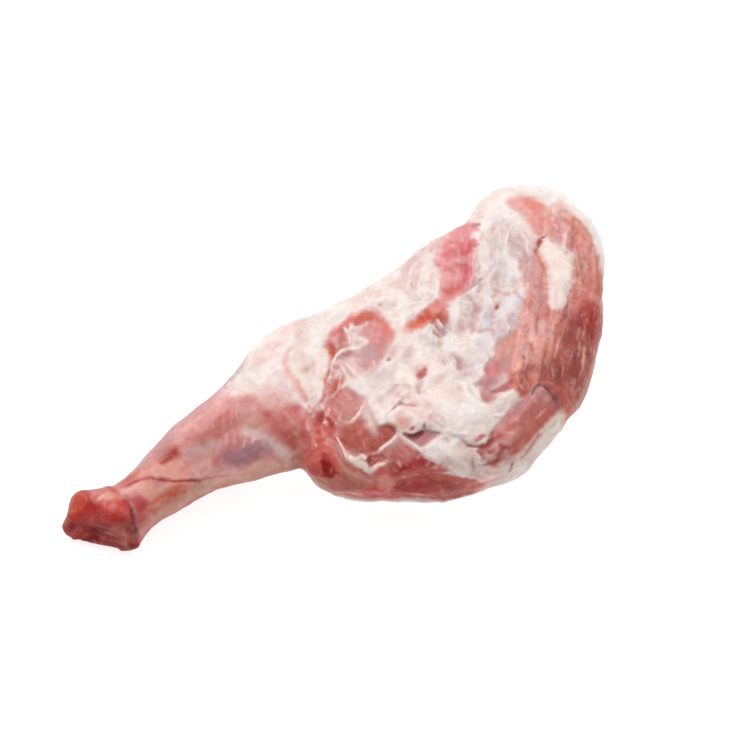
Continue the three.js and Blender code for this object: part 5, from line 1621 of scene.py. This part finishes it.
def make_meat(node):
    """The whole joint as one piece, painted, shaped and finished."""
    meat = meat_blank(node)
    surface = Surface(meat.data)
    for paint in (paint_limb, paint_knuckle, paint_shank_low, paint_turned_edge_shade, paint_fat_pad,
                  paint_blade, paint_arm, paint_elbow, paint_seam, paint_blade_muscles, paint_strip,
                  paint_rib_muscle, paint_blade_tip, paint_round_muscle, paint_hidden):
        paint(surface)
    sculpt(meat.data, surface)
    write_attributes(meat.data, surface)
    meat.data.materials.clear()
    meat.data.materials.append(meat_material())
    return meat


# ---- The small pieces that stand on the meat ----------------------------------------------------------

class Skin:
    """The finished meat's surface, found from a chart point."""

    def __init__(self, meat):
        shape = bmesh.new()
        shape.from_mesh(meat.data)
        self.tree = BVHTree.FromBMesh(shape)
        shape.free()

    def at(self, x, y):
        eye = Vector(EYE * MM)
        sight = (Vector((x, y, CHART_HEIGHT)) * MM - eye).normalized()
        spot, facing, _, _ = self.tree.ray_cast(eye, sight)
        return spot, facing


def skin_material(name, tone, blush, share):
    """Moist membrane or fat: one tone clouded with another, and a finely puckered surface."""
    n = Nodes(name)
    place = n.add("ShaderNodeTexCoord", None, "Object")
    cloud = n.noise(place, 170.0, 3.0, 0.6, 0.6)
    pucker = n.noise(place, 700.0, 3.0, 0.6, 0.3)
    first = (*linear(tone), 1.0)
    second = (*linear(blush), 1.0)
    colour = n.blend(n.ramp(cloud, 0.42, 0.66) * share, first, second)
    bump = n.add("ShaderNodeBump", None, 0, Strength=0.5, Distance=0.0008, Height=pucker * 0.4 + cloud)
    return n.finish({
        "Base Color": colour,
        "Roughness": 0.42 + pucker * 0.1,
        "Normal": bump,
        "IOR": 1.38,
        "Specular IOR Level": 0.25,
        "Coat Weight": 0.15,
        "Coat Roughness": 0.12,
        "Subsurface Weight": 0.2,
        "Subsurface Radius": (1.0, 0.4, 0.25),
        "Subsurface Scale": 0.002,
    })


def even_run(path, step):
    """A smooth run through a path with evenly spaced points."""
    run = rounded(path, closed=False, steps=8)
    gaps = np.hypot(*np.diff(run, axis=0).T)
    reach = np.concatenate([[0], np.cumsum(gaps)])
    count = max(4, int(reach[-1] / step))
    even = np.linspace(0, reach[-1], count + 1)
    return np.stack([np.interp(even, reach, run[:, 0]), np.interp(even, reach, run[:, 1])], 1)


def add_fold(shape, skin, width, path, flat=0.38, rise=-0.05, seed=1):
    """A fold of membrane: rings set along a path on the meat, bridged, and closed at both ends."""
    first, last = width if isinstance(width, tuple) else (width, width)
    run = even_run(path, 0.9)
    found = [skin.at(x, y) for x, y in run]
    spots = np.array([spot for spot, _ in found])
    ups = np.array([facing for _, facing in found])
    for _ in range(3):
        spots[1:-1] = (spots[:-2] + 2 * spots[1:-1] + spots[2:]) / 4
        ups[1:-1] = (ups[:-2] + 2 * ups[1:-1] + ups[2:]) / 4
    uneven = soft_noise(spots / MM, 2.2, seed)
    rings = []
    for i, spot in enumerate(spots):
        share = i / (len(spots) - 1)
        taper = min(1.0, 6 * share + 0.15, 6 * (1 - share) + 0.15)
        half = (first + (last - first) * share) / 2 * taper * (1 + 0.4 * uneven[i]) * MM
        ahead = Vector(spots[min(i + 1, len(spots) - 1)] - spots[max(i - 1, 0)]).normalized()
        side = ahead.cross(Vector(ups[i])).normalized()
        up = side.cross(ahead)
        sit = Matrix([side * half, up * half * flat, ahead * half]).transposed().to_4x4()
        sit.translation = Vector(spot) + up * rise * MM * taper
        ends = i in (0, len(spots) - 1)
        ring = bmesh.ops.create_circle(shape, cap_ends=ends, segments=10, radius=1.0, matrix=sit)
        loop = {edge for vert in ring["verts"] for edge in vert.link_edges}
        rings.append(list(loop))
    for before, after in zip(rings, rings[1:]):
        bmesh.ops.bridge_loops(shape, edges=before + after)


def add_bead(shape, skin, centre, half, turn=0.0, high=0.7, rise=0.0, seed=1):
    """A rounded, uneven knob of fat or flesh on the meat."""
    spot, facing = skin.at(*centre)
    sit = facing.to_track_quat("Z", "Y").to_matrix().to_4x4()
    sit = sit @ Matrix.Rotation(math.radians(turn), 4, "Z")
    sit = sit @ Matrix.Diagonal((half[0] * MM, half[1] * MM, min(half) * high * MM, 1))
    sit.translation = spot + facing * rise * MM
    made = bmesh.ops.create_icosphere(shape, subdivisions=3, radius=1.0, matrix=sit)
    verts = made["verts"]
    places = np.array([vert.co for vert in verts]) / MM
    swell = 1 + 0.14 * soft_noise(places, 1.6, seed)
    for vert, share in zip(verts, swell):
        vert.co = spot + (vert.co - spot) * share


def finish_piece(shape, name, material):
    """Turns a worked shape into a smooth piece of the joint."""
    bmesh.ops.recalc_face_normals(shape, faces=shape.faces)
    mesh = bpy.data.meshes.new(name)
    shape.to_mesh(mesh)
    shape.free()
    mesh.shade_smooth()
    mesh.materials.append(material)
    piece = bpy.data.objects.new(name, mesh)
    bpy.context.scene.collection.objects.link(piece)
    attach(piece, "root")


def make_arm_folds(skin):
    """The curled upper edge of the membrane over the arm muscle."""
    shape = bmesh.new()
    for width, *path in (((2.0, 3.2), (-9.2, 25.8), (-7.0, 28.8), (-3, 30.6), (2.8, 31.4)),
                         ((2.8, 1.6), (3.4, 31), (6, 29.4), (9, 27.8), (13, 27.2), (17, 27.8)),
                         ((1.2, 1.8), (11.2, 45), (11.6, 41), (10.2, 36.5), (7, 33))):
        add_fold(shape, skin, width, path, seed=11)
    material = skin_material("curled membrane", "blush fat", "pale membrane", 0.8)
    finish_piece(shape, "arm_membrane_folds", material)


def make_lips(skin):
    """The lips of fascia round the lower arm muscles, and the hooked fold between them."""
    shape = bmesh.new()
    for width, *path in (((1.6, 2.6), (-37.4, -22), (-37.8, -30), (-39, -37), (-39.6, -42)),
                         ((2.6, 2.2), (-20, -47.6), (-15, -46), (-9, -45.5), (-5, -44.2), (-1.4, -41.6)),
                         ((2.4, 1.8), (-29.6, -57), (-25, -56), (-20.4, -57.2)),
                         ((2.2, 3.4), (-24.6, -18.2), (-19.6, -17.8), (-14, -15.2), (-8.6, -11.4)),
                         ((1.6, 2.2), (4.4, -44.4), (6.4, -46.6), (10, -48), (14.6, -48.2)),
                         ((1.2, 1.8), (-1, -46), (1.8, -54), (4, -61), (6, -67))):
        add_fold(shape, skin, width, path, seed=21)
    add_bead(shape, skin, (-30.4, -45.4), (2.8, 1.8), turn=-15, seed=22)
    finish_piece(shape, "fascia_lips", skin_material("fascia", "pale membrane", "blush fat", 0.8))


def make_vessel(skin):
    """The cut vessel at the lower edge of the fat pad: a low hoop of its wall."""
    shape = bmesh.new()
    hoop = [(39.8, -75.6), (41, -73.6), (43.4, -72.6), (46, -73.4), (46.6, -75.4)]
    add_fold(shape, skin, (1.4, 1.8), hoop, flat=0.7, rise=0.1, seed=31)
    finish_piece(shape, "cut_vessel", skin_material("vessel wall", "pink membrane", "wet red", 0.7))


def make_knobs(skin):
    """The small wet knobs of fat and flesh in the crook."""
    shape = bmesh.new()
    for centre, half, turn in (((-33, -4.5), (2.2, 3.6), 20), ((-38.4, -9.6), (0.9, 1.8), -25),
                               ((-52, -21.2), (1.6, 1.1), 0), ((-41.6, 4), (1.6, 3.4), -10)):
        add_bead(shape, skin, centre, half, turn=turn, high=0.5, rise=-0.3, seed=41)
    finish_piece(shape, "crook_knobs", skin_material("wet fat", "pale membrane", "wet red", 0.6))


# ---- The floor, the light and the camera ---------------------------------------------------------------

def floor_material():
    """A matt floor that glows a little, so that it shows white round a soft shadow."""
    return Nodes("white floor").finish({
        "Base Color": (0.4, 0.4, 0.4, 1.0),
        "Roughness": 0.9,
        "Emission Color": (1.0, 1.0, 1.0, 1.0),
        "Emission Strength": 0.78,
    })


def make_floor():
    sheet = bmesh.new()
    bmesh.ops.create_grid(sheet, x_segments=1, y_segments=1, size=FLOOR_REACH)
    mesh = bpy.data.meshes.new("floor")
    sheet.to_mesh(mesh)
    sheet.free()
    mesh.materials.append(floor_material())
    floor = bpy.data.objects.new("floor", mesh)
    bpy.context.scene.collection.objects.link(floor)
    return floor


def make_light(name, place, target, size, power):
    data = bpy.data.lights.new(name, "AREA")
    data.shape = "DISK"
    data.size = size
    data.energy = power
    light = bpy.data.objects.new(name, data)
    light.location = place
    light.rotation_euler = (Vector(target) - Vector(place)).to_track_quat("-Z", "Y").to_euler()
    bpy.context.scene.collection.objects.link(light)


def make_world(strength):
    world = bpy.data.worlds.new("studio")
    world.use_nodes = True
    back = world.node_tree.nodes["Background"]
    back.inputs[0].default_value = (1.0, 1.0, 1.0, 1.0)
    back.inputs[1].default_value = strength
    bpy.context.scene.world = world


def make_camera():
    data = bpy.data.cameras.new("camera")
    data.sensor_width = SENSOR_WIDTH
    data.lens = SENSOR_WIDTH * VIEW_DISTANCE / FRAME_WIDTH
    data.clip_start = 0.05
    data.clip_end = 20.0
    camera = bpy.data.objects.new("camera", data)
    turned = Matrix([RIGHT, UP, BACK]).transposed().to_4x4()
    turned.translation = Vector(EYE * MM)
    camera.matrix_world = turned
    bpy.context.scene.collection.objects.link(camera)
    bpy.context.scene.camera = camera


make_world(0.29)
make_light("key", (-0.35, 0.85, 1.35), (0.0, 0.0, 0.03), 0.7, 12.8)
make_light("top", (0.3, -0.3, 1.6), (0.0, 0.0, 0.03), 1.4, 7.6)
make_light("fill", (-0.3, -1.3, 0.9), (0.0, 0.0, 0.03), 1.2, 2.0)
make_light("right", (1.2, 0.35, 0.8), (0.1, 0.0, 0.03), 0.8, 4.0)
make_camera()
bpy.context.scene.view_settings.view_transform = "Standard"

floor = make_floor()

meat = make_meat(bpy.data.objects["lamb_shoulder"])
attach(meat, "root")
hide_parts("lamb_shoulder")

skin = Skin(meat)
make_arm_folds(skin)
make_lips(skin)
make_vessel(skin)
make_knobs(skin)
